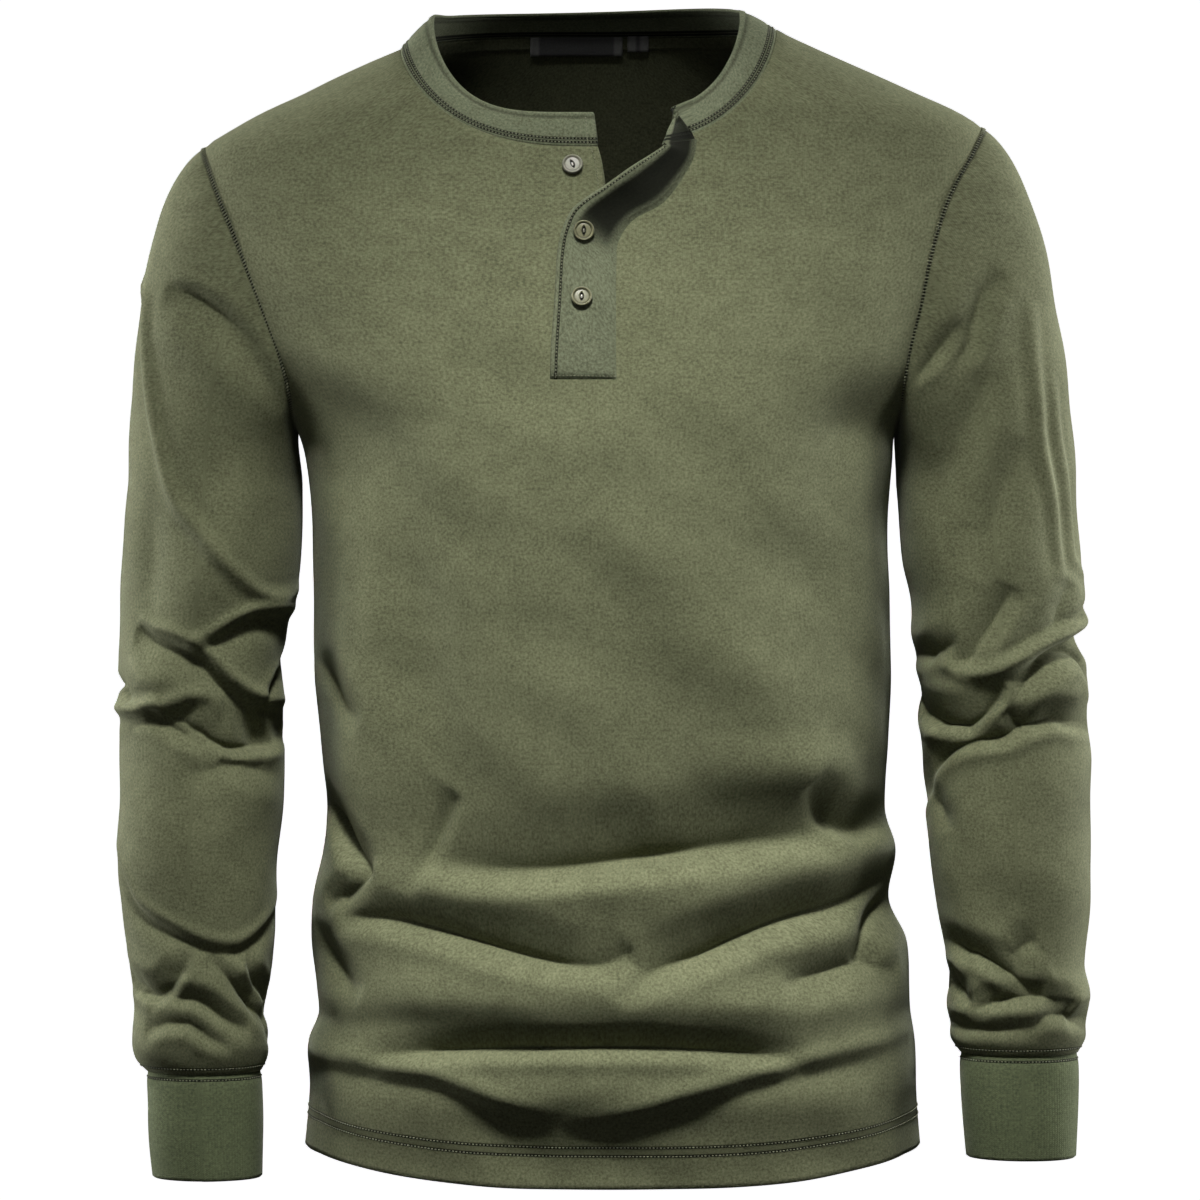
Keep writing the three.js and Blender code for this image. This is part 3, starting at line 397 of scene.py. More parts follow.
def cloth(name, points, faces, flat, wall, finish, replaces, shade_paint=0, rows=(50, 0), inside_shade=1):
    """A closed shell of cloth: the given outside, an inside a wall behind it, and rounded edges. Rows
    gives every point its distance from the middle of a pair of needle rows, and half their spacing.
    Shade paint is each point's share of painted shade, and inside shade the painted shade of the inside."""
    count = len(points)
    wall = np.broadcast_to(np.asarray(wall, float), (count,))[:, None]
    normals = point_normals(points, faces)
    inner = points - normals * wall
    edges = np.concatenate([faces[:, [0, 1]], faces[:, [1, 2]], faces[:, [2, 3]], faces[:, [3, 0]]])
    edges = edges[edges[:, 0] != edges[:, 1]]
    open_edge = ~np.isin(edges[:, 0] * count + edges[:, 1], edges[:, 1] * count + edges[:, 0])
    rim = edges[open_edge]
    away = np.zeros_like(points)
    out = np.cross(points[rim[:, 1]] - points[rim[:, 0]], normals[rim[:, 0]])
    np.add.at(away, rim[:, 0], out)
    np.add.at(away, rim[:, 1], out)
    ids = np.unique(rim)
    middle = (points[ids] + inner[ids]) / 2 + unit(away[ids]) * wall[ids] / 2
    rank = np.zeros(count, int)
    rank[ids] = np.arange(len(ids)) + 2 * count
    a, b = rim[:, 0], rim[:, 1]
    all_faces = np.concatenate([
        faces, faces[:, ::-1] + count, np.stack([b, a, rank[a], rank[b]], axis=1),
        np.stack([rank[b], rank[a], a + count, b + count], axis=1)])
    all_points = np.concatenate([points, inner, middle]) / 1000
    all_flat = np.concatenate([flat, flat, flat[ids]]) / 1000
    # Painted shade on the inside wall
    inside = np.concatenate([np.zeros(count), np.full(count, float(inside_shade)), np.zeros(len(ids))])
    mesh = bpy.data.meshes.new(name)
    mesh.from_pydata(all_points.tolist(), [], all_faces.tolist())
    mesh.validate()
    layer = mesh.uv_layers.new(name="cut")
    corners = np.zeros(len(mesh.loops), np.int32)
    mesh.loops.foreach_get("vertex_index", corners)
    layer.data.foreach_set("uv", all_flat[corners].astype(np.float32).ravel())
    own = {"inside": inside}
    # darker carries each point's painted shade
    for key, value in (("darker", shade_paint), ("row_far", rows[0]), ("row_gap", rows[1])):
        value = np.broadcast_to(np.asarray(value, float), (count,))
        own[key] = np.concatenate([value, value, value[ids]])
    give_points(mesh, own)
    mesh.update()
    piece = in_scene(name, mesh)
    mesh.materials.append(finish)
    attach(piece, "root")
    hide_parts(replaces)
    return piece


class Strand:
    """A socket of a finish. Sums on it add Math nodes."""

    def __init__(self, finish, socket):
        self.finish, self.socket = finish, socket

    def maths(self, operation, *values):
        return self.finish.node("ShaderNodeMath", dict(operation=operation), dict(enumerate(values)))

    def alone(self, operation):
        return self.maths(operation, self)

    def __add__(self, other):
        return self.maths("ADD", self, other)

    def __sub__(self, other):
        return self.maths("SUBTRACT", self, other)

    def __rsub__(self, other):
        return self.maths("SUBTRACT", other, self)

    def __mul__(self, other):
        return self.maths("MULTIPLY", self, other)

    __radd__, __rmul__ = __add__, __mul__


class Finish:
    """A material made in steps: one node at a time, then the sockets of its shader."""

    def __init__(self, name, **constants):
        self.material = bpy.data.materials.new(name)
        self.material.use_nodes = True
        self.tree = self.material.node_tree
        self.shader = self.tree.nodes["Principled BSDF"]
        for socket, value in constants.items():
            self.shader.inputs[socket.replace("_", " ")].default_value = value

    def node(self, kind, settings=None, sockets=None, output=0):
        made = self.tree.nodes.new(kind)
        for key, value in (settings or {}).items():
            setattr(made, key, value)
        for key, value in (sockets or {}).items():
            self.join(made.inputs[key], value)
        return Strand(self, made.outputs[output])

    def cut_place(self):
        """Across and down on the cut of the cloth, in metres, and both at once."""
        cut = self.node("ShaderNodeUVMap", dict(uv_map="cut"))
        across = self.node("ShaderNodeSeparateXYZ", None, {0: cut})
        return across, Strand(self, across.socket.node.outputs[1]), cut

    def noise(self, place, scale, detail, **more):
        return self.node("ShaderNodeTexNoise", None,
                         {"Vector": place, "Scale": scale, "Detail": detail, **more})

    def point_value(self, name):
        return self.node("ShaderNodeAttribute", dict(attribute_name=name), output=2)

    def ramp(self, value, low, high, at_low, at_high, kind="SMOOTHSTEP"):
        return self.node("ShaderNodeMapRange", dict(interpolation_type=kind),
                         {0: value, 1: low, 2: high, 3: at_low, 4: at_high})

    def mix(self, share, first, second):
        sides = (value if isinstance(value, Strand) else (*value, 1) for value in (first, second))
        return self.node("ShaderNodeMix", dict(data_type="RGBA", clamp_factor=True),
                         {0: share, **dict(zip((6, 7), sides))}, output=2)

    def bump(self, strength, distance, height):
        return self.node("ShaderNodeBump", None,
                         {"Strength": strength, "Distance": distance, "Height": height})

    def join(self, socket, value):
        if isinstance(value, Strand):
            self.tree.links.new(value.socket, socket)
        else:
            socket.default_value = value

    def surface(self, **links):
        for socket, value in links.items():
            self.join(self.shader.inputs[socket.replace("_", " ")], value)
        return self.material


def jersey_finish(name, light, dark, wale, rib, sheen=0.2):
    """Knitted cotton: columns of small loops, an uneven yarn and a soft nap, with painted shade
    on the inside, in the needle-row grooves and where a piece gives it.
    """
    finish = Finish(name, IOR=1.45, Specular_IOR_Level=0.14, Sheen_Weight=sheen, Sheen_Roughness=0.4,
                    Sheen_Tint=(0.75, 0.8, 0.6, 1))
    across, down, cut = finish.cut_place()
    slant = ((across * (1 / wale)).alone("FRACT") - 0.5).alone("ABSOLUTE")
    loop = ((down * (1.35 / wale) + slant * 1.2) * (2 * math.pi)).alone("SINE")
    knit = (0.5 - slant) * rib + loop * 0.25
    grain = finish.noise(cut, 620.0, 3.0, Roughness=0.65)
    slub, cloud = finish.noise(cut, 95.0, 2.0), finish.noise(cut, 14.0, 2.0)
    colour = finish.mix(grain * 2.3 + slub * 0.5 + cloud * 0.45 + loop * 0.05 - 1.12, dark, light)
    # Needle rows press grooves into the cloth, darkened with painted shade, and the strip between a pair of
    # them is mottled
    from_row = finish.point_value("row_far").alone("ABSOLUTE") - finish.point_value("row_gap")
    groove = finish.ramp(from_row.alone("ABSOLUTE"), 0.35, 1.2, 1.0, 0.0)
    between = finish.ramp(from_row, -0.8, 0.0, 1.0, 0.0, "LINEAR")
    # Painted shade: the inner wall, the needle grooves, and the darker value that a piece gives its points
    painted_shade_share = finish.point_value("inside") * 0.52 + finish.point_value("darker") + groove * 0.92
    shaded = finish.mix(painted_shade_share + between * (grain * 0.7 - 0.15), colour, tuple(c * 0.06 for c in dark))
    bump = finish.bump(0.35, 0.0004, knit + grain * 0.8 + slub * 0.6 - groove * 1.5)
    return finish.surface(Base_Color=shaded, Roughness=0.82 + grain * 0.12, Normal=bump)


OLIVE = jersey_finish("olive_jersey", (0.185, 0.194, 0.109), (0.070, 0.075, 0.038), 0.0008, 0.9)
SEAM_SHADE, SEAM_SHADE_NEAR, SEAM_SHADE_FAR = 0.95, 1.0, 1.9


def armhole_shade(heights, points):
    """Painted shade: the dark line along the edge of a panel where the armhole seam's gap lies in shade."""
    near = np.linalg.norm(points - points[:, :1], axis=-1)
    beside = (heights > ARMPIT) & (heights < TIP)
    return (SEAM_SHADE * (1 - smoothstep(near, SEAM_SHADE_NEAR, SEAM_SHADE_FAR)) * beside[:, None]).ravel()


def hem_thickness(far):
    """Wall of a panel, which is doubled below the hem's stitches."""
    return JERSEY_WALL + (HEM_WALL - JERSEY_WALL) * (1 - smoothstep(far, -3, 3))


FRONT_ROWS_LOW, FRONT_ROWS_HIGH, FRONT_COLUMNS = 156, 82, 84
HEM_STITCH, HEM_STITCH_GAP = 20.4, 2.4
front_heights = np.concatenate([
    np.linspace(HEM, NECK_FALLS_FROM, FRONT_ROWS_LOW),
    np.linspace(NECK_FALLS_FROM, NECK_POINT, FRONT_ROWS_HIGH)[1:]])
left_edge, right_edge = edge_place(front_heights, -1), edge_place(front_heights, 1)
middle_z = row_height(front_heights, "front", left_edge, right_edge, np.zeros(len(front_heights)))
slot_z = np.maximum(middle_z, SLOT_FOOT)
opened = middle_z > SLOT_FOOT
under_x, over_x = read(SLOT, "z", "under", slot_z), read(SLOT, "z", "over", slot_z)
joined_x = (under_x + over_x) / 2
(under_points, under_flat), (over_points, over_flat) = (
    half_panel(front_heights, "front", side, np.where(opened, slot_x, joined_x), FRONT_COLUMNS)
    for side, slot_x in ((-1, under_x), (1, over_x)))
under_index = numbered(under_points)
over_index = under_index + under_index.size
over_index[~opened, -1] = under_index[~opened, -1]
front_points = np.concatenate([under_points.reshape(-1, 3), over_points.reshape(-1, 3)])
front_flat = np.concatenate([under_flat.reshape(-1, 2), over_flat.reshape(-1, 2)])
front_faces = np.concatenate([net(under_index), net(over_index[:, ::-1])])
used = np.unique(front_faces)
renumber = np.zeros(len(front_points), int)
renumber[used] = np.arange(len(used))
hem_far = np.repeat(front_heights - HEM - HEM_STITCH, FRONT_COLUMNS + 1)
hem_far = np.concatenate([hem_far, hem_far])[used]
# Painted shade along the armhole seams
armhole_shade_paint = np.concatenate([armhole_shade(front_heights, half) for half in (under_points, over_points)])
front = cloth("front_panel", front_points[used], renumber[front_faces], front_flat[used],
              hem_thickness(hem_far), OLIVE, "front", armhole_shade_paint[used], (hem_far, HEM_STITCH_GAP))

BEAD_SIDES, BEAD_RINGS = 6, 5
HEM_PITCH, STITCH_LONG, STITCH_THICK = 2.1, 1.2, 0.8


def stitch_nodes():
    """Geometry Nodes that lay one short round stitch on every point, along its way, facing out."""
    tree = bpy.data.node_groups.new("stitches", "GeometryNodeTree")
    face = tree.interface
    face.new_socket("Spots", in_out="INPUT", socket_type="NodeSocketGeometry")
    for name, kind in (("Stitch length", "Float"), ("Thread thickness", "Float"), ("Unevenness", "Float"),
                       ("Seed", "Int"), ("Thread", "Material")):
        face.new_socket(name, in_out="INPUT", socket_type="NodeSocket" + kind)
    face.new_socket("Stitches", in_out="OUTPUT", socket_type="NodeSocketGeometry")
    add = tree.nodes.new
    start, end = add("NodeGroupInput"), add("NodeGroupOutput")

    def made(kind, settings, sockets):
        node = add(kind)
        for key, value in settings.items():
            setattr(node, key, value)
        for key, value in sockets.items():
            if isinstance(key, int):
                socket = node.inputs[key]
            else:
                socket = next(s for s in node.inputs if s.name == key and s.enabled)
            if isinstance(value, bpy.types.NodeSocket):
                tree.links.new(value, socket)
            else:
                socket.default_value = value
        return next(s for s in node.outputs if s.enabled)

    def maths(operation, first, second):
        return made("ShaderNodeMath", dict(operation=operation), {0: first, 1: second})

    given = start.outputs
    way, out = (made("GeometryNodeInputNamedAttribute", dict(data_type="FLOAT_VECTOR"), {"Name": name})
                for name in ("way", "out"))
    along = made("FunctionNodeAlignRotationToVector", dict(axis="Z"), {"Vector": way})
    facing = made("FunctionNodeAlignRotationToVector", dict(axis="X", pivot_axis="Z"),
                  {"Rotation": along, "Vector": out})
    share = made("FunctionNodeRandomValue", dict(data_type="FLOAT"),
                 {"Min": maths("SUBTRACT", 1, given["Unevenness"]),
                  "Max": maths("ADD", 1, given["Unevenness"]), "Seed": given["Seed"]})
    half = maths("MULTIPLY", given["Stitch length"], 0.5)
    radius = maths("MULTIPLY", given["Thread thickness"], 0.5)
    size = made("ShaderNodeCombineXYZ", {}, {"X": radius, "Y": radius, "Z": half})
    uneven = made("ShaderNodeVectorMath", dict(operation="SCALE"), {0: size, 3: share})
    bead = made("GeometryNodeMeshUVSphere", {}, {"Segments": BEAD_SIDES, "Rings": BEAD_RINGS, "Radius": 1.0})
    laid = made("GeometryNodeInstanceOnPoints", {},
                {"Points": given["Spots"], "Instance": bead, "Rotation": facing, "Scale": uneven})
    real = made("GeometryNodeRealizeInstances", {}, {"Geometry": laid})
    smooth = made("GeometryNodeSetShadeSmooth", {}, {"Geometry": real})
    finished = made("GeometryNodeSetMaterial", {}, {"Geometry": smooth, "Material": given["Thread"]})
    tree.links.new(finished, end.inputs["Stitches"])
    return tree


STITCHES = stitch_nodes()


def stitch_row(path, beside, core, pitch=HEM_PITCH, slant=0, lift=0.15):
    """Places, directions and outward sides of the stitches of one row, evenly spaced on a path."""
    run = run_along(path)
    at = np.arange(pitch / 2, run[-1], pitch)
    spots, near = (np.stack([np.interp(at, run, line[:, axis]) for axis in range(3)], axis=1)
                   for line in (path, beside))
    ahead = unit(np.gradient(spots, axis=0))
    across = unit(near - spots)
    out = unit(np.cross(ahead, across))
    if np.sum(out * (spots - np.array(core))) < 0:
        out = -out
    angle = math.radians(slant)
    return spots + out * lift, unit(ahead * math.cos(angle) + across * math.sin(angle)), out


def thread_finish(name, light, dark):
    """Spun sewing thread: two tones in fine bands round it, and a soft shine."""
    finish = Finish(name, Sheen_Weight=0.3, Specular_IOR_Level=0.3)
    place = finish.node("ShaderNodeTexCoord", output=3)
    grain = finish.noise(place, 1800.0, 2.0)
    return finish.surface(Base_Color=finish.mix(grain, dark, light), Roughness=0.6 + grain * 0.2,
                          Normal=finish.bump(0.4, 0.0001, grain))


THREAD = thread_finish("olive_thread", (0.180, 0.190, 0.107), (0.100, 0.107, 0.058))


def stitches(name, rows, length=STITCH_LONG, thickness=STITCH_THICK, thread=THREAD, uneven=0.12, seed=3):
    """One piece with a stitch at every place of the rows."""
    spots, ways, outs = (np.concatenate([row[part] for row in rows]) for part in range(3))
    points = bpy.data.meshes.new(name + "_spots")
    points.from_pydata((spots / 1000).tolist(), [], [])
    for key, value in (("way", ways), ("out", outs)):
        points.attributes.new(key, "FLOAT_VECTOR", "POINT").data.foreach_set("vector", value.ravel())
    holder = in_scene(name + "_spots", points)
    nodes = holder.modifiers.new("stitches", "NODES")
    nodes.node_group = STITCHES
    sockets = {item.name: item.identifier for item in STITCHES.interface.items_tree}
    for label, value in (("Stitch length", length / 1000), ("Thread thickness", thickness / 1000),
                         ("Unevenness", uneven), ("Seed", seed), ("Thread", thread)):
        nodes[sockets[label]] = value
    graph = bpy.context.evaluated_depsgraph_get()
    mesh = bpy.data.meshes.new_from_object(holder.evaluated_get(graph))
    mesh.name = name
    bpy.data.objects.remove(holder)
    piece = in_scene(name, mesh)
    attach(piece, "root")
    return piece


ROW_POINTS = 400


def panel_row(height, face):
    """A line round a panel at the height of a row."""
    left, right = edge_place(np.array([height]), -1), edge_place(np.array([height]), 1)
    swing = np.sin(np.linspace(-math.pi / 2, math.pi / 2, ROW_POINTS))
    x = (left[0] + right[0]) / 2 + (right[0] - left[0]) / 2 * swing
    z = row_height(np.full(x.shape, height), face, left, right, x)
    return body_point(turn_at(x, z), z, face)


def hem_stitches(face):
    """The two needle rows of the hem on one panel."""
    heights = HEM + HEM_STITCH - HEM_STITCH_GAP, HEM + HEM_STITCH + HEM_STITCH_GAP
    stitches(face + "_hem_stitches", [stitch_row(panel_row(h, face), panel_row(h + 1, face), (0, 0, h))
                                      for h in heights])


hem_stitches("front")

# Back panel. Cut in one piece of the same jersey, a little higher at the neck than the front,
# with slack folds where it gathers above the hem.
BACK_ROWS, BACK_COLUMNS = 170, 66
back_heights = np.linspace(HEM, NECK_POINT, BACK_ROWS)
back_middle = np.zeros(BACK_ROWS)
(back_minus, back_minus_flat), (back_plus, back_plus_flat) = (
    half_panel(back_heights, "back", side, back_middle, BACK_COLUMNS) for side in (-1, 1))
back_grid = np.concatenate([back_minus, back_plus[:, -2::-1]], axis=1)
back_flat = np.concatenate([back_minus_flat, back_plus_flat[:, -2::-1]], axis=1)
back_far = np.repeat(back_heights - HEM - HEM_STITCH, back_grid.shape[1])
back = cloth("back_panel", back_grid.reshape(-1, 3), net(numbered(back_grid)[:, ::-1]),
             back_flat.reshape(-1, 2), hem_thickness(back_far), OLIVE, "back",
             rows=(back_far, HEM_STITCH_GAP))
hem_stitches("back")

# Sleeves. Each is cut in one piece of jersey with a rounded cap, closed along the underarm and
# set into the armhole. It bunches at the elbow and above the cuff, where it is gathered in.
SLEEVES = {
    -1: table(
        "z near far centre depth",
        (-275, 180.2, 286, 3, 55), (-308, 180.5, 288.5, 2, 54), (-345, 184.5, 290, 0, 52),
        (-382, 192, 291.6, -3, 50), (-405, 190, 292, -5, 49), (-430, 190, 290.4, -6, 48),
        (-466, 191, 289, -9, 46), (-502, 194.8, 290, -11, 44), (-530, 195, 287, -12, 42),
        (-563, 197, 283, -14, 40), (-587, 201, 280, -15, 38), (-611, 198.5, 282, -16, 35),
        (-620, 200, 279.5, -16, 32), (-627, 203.3, 272.5, -16, 28.5)),
    1: table(
        "z near far centre depth",
        (-275, 179.8, 288, 3, 55), (-320, 183, 290, 1, 53), (-345, 188, 293, 0, 52),
        (-369, 188.5, 289, -2, 51), (-393, 192, 294.6, -4, 50), (-418, 192.4, 293.4, -6, 48),
        (-442, 195, 296, -7, 47), (-502, 199, 295, -11, 44), (-527, 202.7, 295.2, -12, 42),
        (-563, 209, 291, -14, 40), (-581, 209, 295, -15, 38), (-599, 210, 292, -16, 35),
        (-608, 211, 291.5, -16, 32), (-616, 216.2, 287.2, -16, 28.5)),
}
SLEEVE_ENDS = {-1: (-275, -627), 1: (-275, -616)}
UNDERARM_GAP, SHOULDER_GAP = 0.4, 1
CAP_OUT, CAP_SIDE_DROP, CAP_TOP_DROP, CAP_IN, CAP_UNDER, CAP_TOP = 115, 45, 30, 8, 33, 167
CAP_FADE, FOOT_FADE, INNER_FADE, INNER_CALM = (0.06, 0.35), (0.0, 0.035), (0.85, 1), 0.55
ARM_RADIUS, SLEEVE_BUNCH, OUTLINE_FROM, PAST_OUTLINE, MOST_RISE = 50, 1.25, 1.0, 18, 0.6
SLEEVE_CREASES = {
    -1: [
        fold(7, 4, 12, 4, 3, (166, 288), (190, 294), (213, 306), (236, 323), (256, 339), (272, 355),
             (285, 374), (296, 400), droop=0.2),
        fold(-4, 4, 4, -1, -1, (147, 296), (145, 345), (149, 386), (156, 425), (164, 464),
             (175, 499), (194, 523), (213, 549), (233, 573), (257, 595), (276, 603), (296, 593),
             droop=0, fade=0.4),
        fold(5.5, 4, 8, 4, 0, (190, 656), (208, 646), (225, 636), (241, 625), (257, 620),
             (273, 619), (290, 622), droop=0.15),
        fold(6.5, 4, 9, 4, 1, (133, 630), (146, 636), (160, 642), (180, 649), (195, 658),
             (208, 669), (224, 683), (237, 696), (253, 706), (271, 711), (290, 711), droop=0.15,
             fade=0.4),
        fold(6, 5, 4, 1, 2, (284, 666), (277, 684), (270, 699)),
        fold(-4, 4, 4, -1, -2, (116, 709), (144, 707), (166, 703), (186, 697), (205, 695),
             (222, 700), droop=0),
        fold(5, 3.5, 3.5, 1, 1, (116, 682), (122, 692), (129, 703)),
        fold(5.5, 6, 7, 0, 0, (224, 704), (242, 718), (262, 727), (292, 728), foot=3, droop=0.1),
        fold(11, 11, 3.5, 1, 3, (160, 714), (180, 721), (197, 729), (213, 737), (229, 742),
             (249, 745), (267, 744), (288, 738)),
        fold(7, 3, 4, 1, 1, (146, 716), (166, 726), (184, 735), (200, 743), (221, 752), droop=0.1),
        fold(3.6, 9, 8, 2, 1, (184, 781), (204, 771), (225, 765), (245, 765), (272, 773)),
        fold(3.2, 4, 7, 2, 1, (122, 872), (133, 903), (149, 920), (171, 934), (194, 946),
             (213, 952), (232, 955), (249, 949), (264, 934), (278, 912), droop=0.2),
        fold(6, 7, 4.5, 2, 2, (136, 984), (150, 992), (165, 986), (177, 974), (186, 955)),
        fold(6, 4, 6, 3, 2, (209, 960), (234, 979), (254, 1001), (271, 1028)),
        fold(6, 5, 5, 2, 1, (247, 960), (255, 976), (263, 989), (271, 1006)),
        fold(4.5, 5, 6, 2, 2, (148, 1007), (166, 998), (184, 996), (206, 1004), (229, 1019),
             (250, 1031), foot=2),
        fold(3.6, 4, 5, 1, 2, (144, 1032), (162, 1023), (178, 1020), (194, 1026), (211, 1037),
             (232, 1046), foot=2),
        fold(8.8, 12, 8, 3, 3, (110, -392), (150, -402), (190, -400), (235, -385), turned=True),
        fold(7.5, 10, 8, 3, 3, (115, -420), (160, -428), (215, -424), turned=True),
        fold(6.2, 8, 6, 2, 2, (110, -590), (160, -600), (210, -598), (250, -590), turned=True),
        fold(5, 8, 6, 2, 2, (120, -560), (170, -572), (235, -566), turned=True),
    ],
    1: [
        fold(4.5, 4, 5, 2, 2, (963, 320), (947, 335), (932, 354), (917, 371), (904, 382),
             droop=0.2),
        fold(4.5, 5, 6, 2, 2, (1003, 274), (987, 295), (976, 322), (968, 345), (950, 368)),
        fold(2.4, 10, 10, 2, 2, (990, 370), (976, 398), (962, 434), (950, 472), (936, 520)),
        fold(-2.2, 4, 4, -1, -1, (1031, 300), (1034, 350), (1038, 400), (1043, 450), (1053, 504),
             (1061, 582), droop=0, fade=0.4),
        fold(-1.4, 4, 4, -1, -1, (1050, 372), (1056, 420), (1064, 470), (1070, 520), (1073, 560),
             droop=0, fade=0.4),
        fold(3, 12, 12, 1, 1, (1020, 440), (1004, 490), (988, 540), (975, 580)),
        fold(3, 7, 8, 1, 1, (1072, 585), (1064, 606), (1056, 628)),
        fold(6.2, 7, 5, 2, 2, (912, 655), (935, 650), (958, 638)),
        fold(-3.4, 4, 4, -2, -1, (943, 664), (952, 671), (974, 676), (996, 671), (1024, 658),
             (1052, 643), (1084, 622), droop=0, fade=0.4),
        fold(12, 10, 4.5, 3, 4, (912, 706), (932, 720), (952, 722), (975, 716), (992, 702),
             (1004, 684)),
        fold(5, 4, 7, 3, 1, (1004, 684), (1026, 668), (1050, 652), (1080, 636), droop=0.15),
        fold(5, 6, 10, 3, 1, (1014, 588), (992, 627), (975, 650), (955, 670)),
        fold(5, 6, 5, 2, 2, (1082, 667), (1071, 653), (1055, 656), (1038, 670), (1022, 692),
             (1008, 710)),
        fold(7.5, 7, 5, 3, 3, (926, 790), (929, 772), (938, 756), (957, 742), (980, 736),
             (1004, 733), (1024, 722), (1050, 719), (1080, 719)),
        fold(4, 4, 4, 1, 1, (1005, 706), (1014, 716), (1026, 723)),
        fold(3.8, 8, 8, 1, 1, (930, 798), (940, 812), (950, 830)),
        fold(7.5, 8, 5, 2, 3, (950, 944), (975, 953), (998, 965), (1025, 981), (1050, 990)),
        fold(3.8, 8, 8, 1, 1, (1010, 955), (1025, 946), (1040, 938)),
        fold(6.2, 6, 5, 2, 2, (968, 1011), (989, 1002), (1015, 996), (1044, 996), (1078, 1002)),
        fold(6.2, 6, 6, 2, 2, (946, 978), (960, 988), (970, 1003)),
        fold(5, 5, 5, 2, 1, (1034, 1020), (1057, 1013), (1082, 1017)),
        fold(3.8, 5, 5, 2, 1, (948, 1024), (985, 1026), (1015, 1028), (1040, 1026)),
        fold(8.8, 12, 8, 3, 3, (120, -398), (165, -410), (205, -408), (245, -398), turned=True),
        fold(7.5, 10, 8, 3, 3, (130, -432), (175, -440), (230, -430), turned=True),
        fold(6.2, 8, 6, 2, 2, (115, -568), (165, -580), (215, -584), (250, -578), turned=True),
        fold(5, 8, 6, 2, 2, (125, -545), (175, -556), (235, -548), turned=True),
    ],
}
# Broad swellings and hollows of the sleeves, at a turn from the front in degrees and at a height
SLEEVE_SWELLS = {
    -1: table("across down wide tall turn height", (-60, -345, 26, 60, 0, -3), (20, -330, 24, 50, 30, 4),
              (-35, -392, 20, 10, -20, 4), (60, -440, 20, 30, 0, 2), (0, -500, 36, 40, 0, 3),
              (-38, -318, 13, 42, 0, -5), (8, -318, 14, 46, -12, 5)),
    1: table("across down wide tall turn height", (-20, -330, 24, 50, -30, 4), (45, -395, 20, 14, 20, 4),
             (0, -480, 36, 40, 0, 3)),
}


def arm_ring(side, turn, z):
    near, far, centre, depth = (
        read(SLEEVES[side], "z", key, z) for key in ("near", "far", "centre", "depth"))
    x = side * (near + far) / 2 + (far - near) / 2 * np.sin(turn)
    return np.stack([x, centre - depth * np.cos(turn), z * np.ones_like(x)], axis=-1)


def armhole_point(side, turn):
    down = (1 - side * np.sin(turn)) / 2
    height = TIP + (ARMPIT - TIP) * down
    x, z, _ = edge_place(height, side)
    in_front = np.cos(turn) >= 0
    spot = turn_at(x, z)
    points = np.where(in_front[..., None], body_point(spot, z, "front"), body_point(spot, z, "back"))
    points[..., 0] = x + side * (SHOULDER_GAP + (UNDERARM_GAP - SHOULDER_GAP) * down)
    return points


def swung(t, start, leave, end, arrive):
    """A smooth curve from start to end that leaves and arrives in the given directions."""
    return (start * (2 * t ** 3 - 3 * t ** 2 + 1) + leave * (t ** 3 - 2 * t ** 2 + t)
            + end * (3 * t ** 2 - 2 * t ** 3) + arrive * (t ** 3 - t ** 2))


def sleeve_form(side, turn, travel):
    """A place on the uncreased sleeve: travel 0 to 1 down the cap, 1 to 2 down the arm."""
    top, foot = SLEEVE_ENDS[side]
    t = np.clip(travel, 0, 1)[..., None]
    upper = (1 + side * np.sin(turn)) / 2
    zero = np.zeros_like(upper)
    leave = np.stack([side * CAP_OUT * upper, zero, -CAP_TOP_DROP - CAP_SIDE_DROP * upper], axis=-1)
    arrive = np.stack([side * CAP_IN * upper, zero, -CAP_UNDER - CAP_TOP * upper], axis=-1)
    cap = swung(t, armhole_point(side, turn), leave, arm_ring(side, turn, np.full_like(turn, top)), arrive)
    arm = arm_ring(side, turn, top + (foot - top) * np.clip(travel - 1, 0, 1))
    return np.where((travel < 1)[..., None], cap, arm)


LOOK_TURNS, LOOK_TRAVELS = np.meshgrid(np.radians(np.linspace(-86, 86, 87)), np.linspace(0, 2, 241))
LOOKS = {}
for side in (-1, 1):
    form = sleeve_form(side, LOOK_TURNS, LOOK_TRAVELS)
    scale = CAMERA_AWAY / ((CAMERA_AWAY + form[..., 1]) * UNIT)
    LOOKS[side] = (PICTURE_WIDE / 2 + form[..., 0] * scale,
                   PICTURE_WIDE / 2 - (form[..., 2] - CAMERA_HEIGHT) * scale, form[..., 2])


def sleeve_line(side, points):
    """A crease seen from the front, as distances round the arm and heights."""
    line = smooth_line(points, 30)
    across, down, heights = LOOKS[side]
    found = []
    for x, y in line:
        spot = np.unravel_index(np.argmin((across - x) ** 2 + (down - y) ** 2), across.shape)
        found.append((LOOK_TURNS[spot] * ARM_RADIUS, heights[spot]))
    found = np.array(found)
    for _ in range(2):
        found[1:-1] = 0.25 * found[:-2] + 0.5 * found[1:-1] + 0.25 * found[2:]
    # A crease that reaches the outline goes on round the arm
    for end, before in ((0, 3), (-1, -4)):
        if abs(found[end, 0]) > OUTLINE_FROM * ARM_RADIUS:
            way = found[end] - found[before]
            rise = np.clip(way[1] / max(abs(way[0]), 1), -MOST_RISE, MOST_RISE)
            more = found[end] + np.array([math.copysign(1, found[end, 0]), rise]) * PAST_OUTLINE
            found = np.concatenate([[more], found]) if end == 0 else np.concatenate([found, [more]])
    return smooth_line(found, 34)


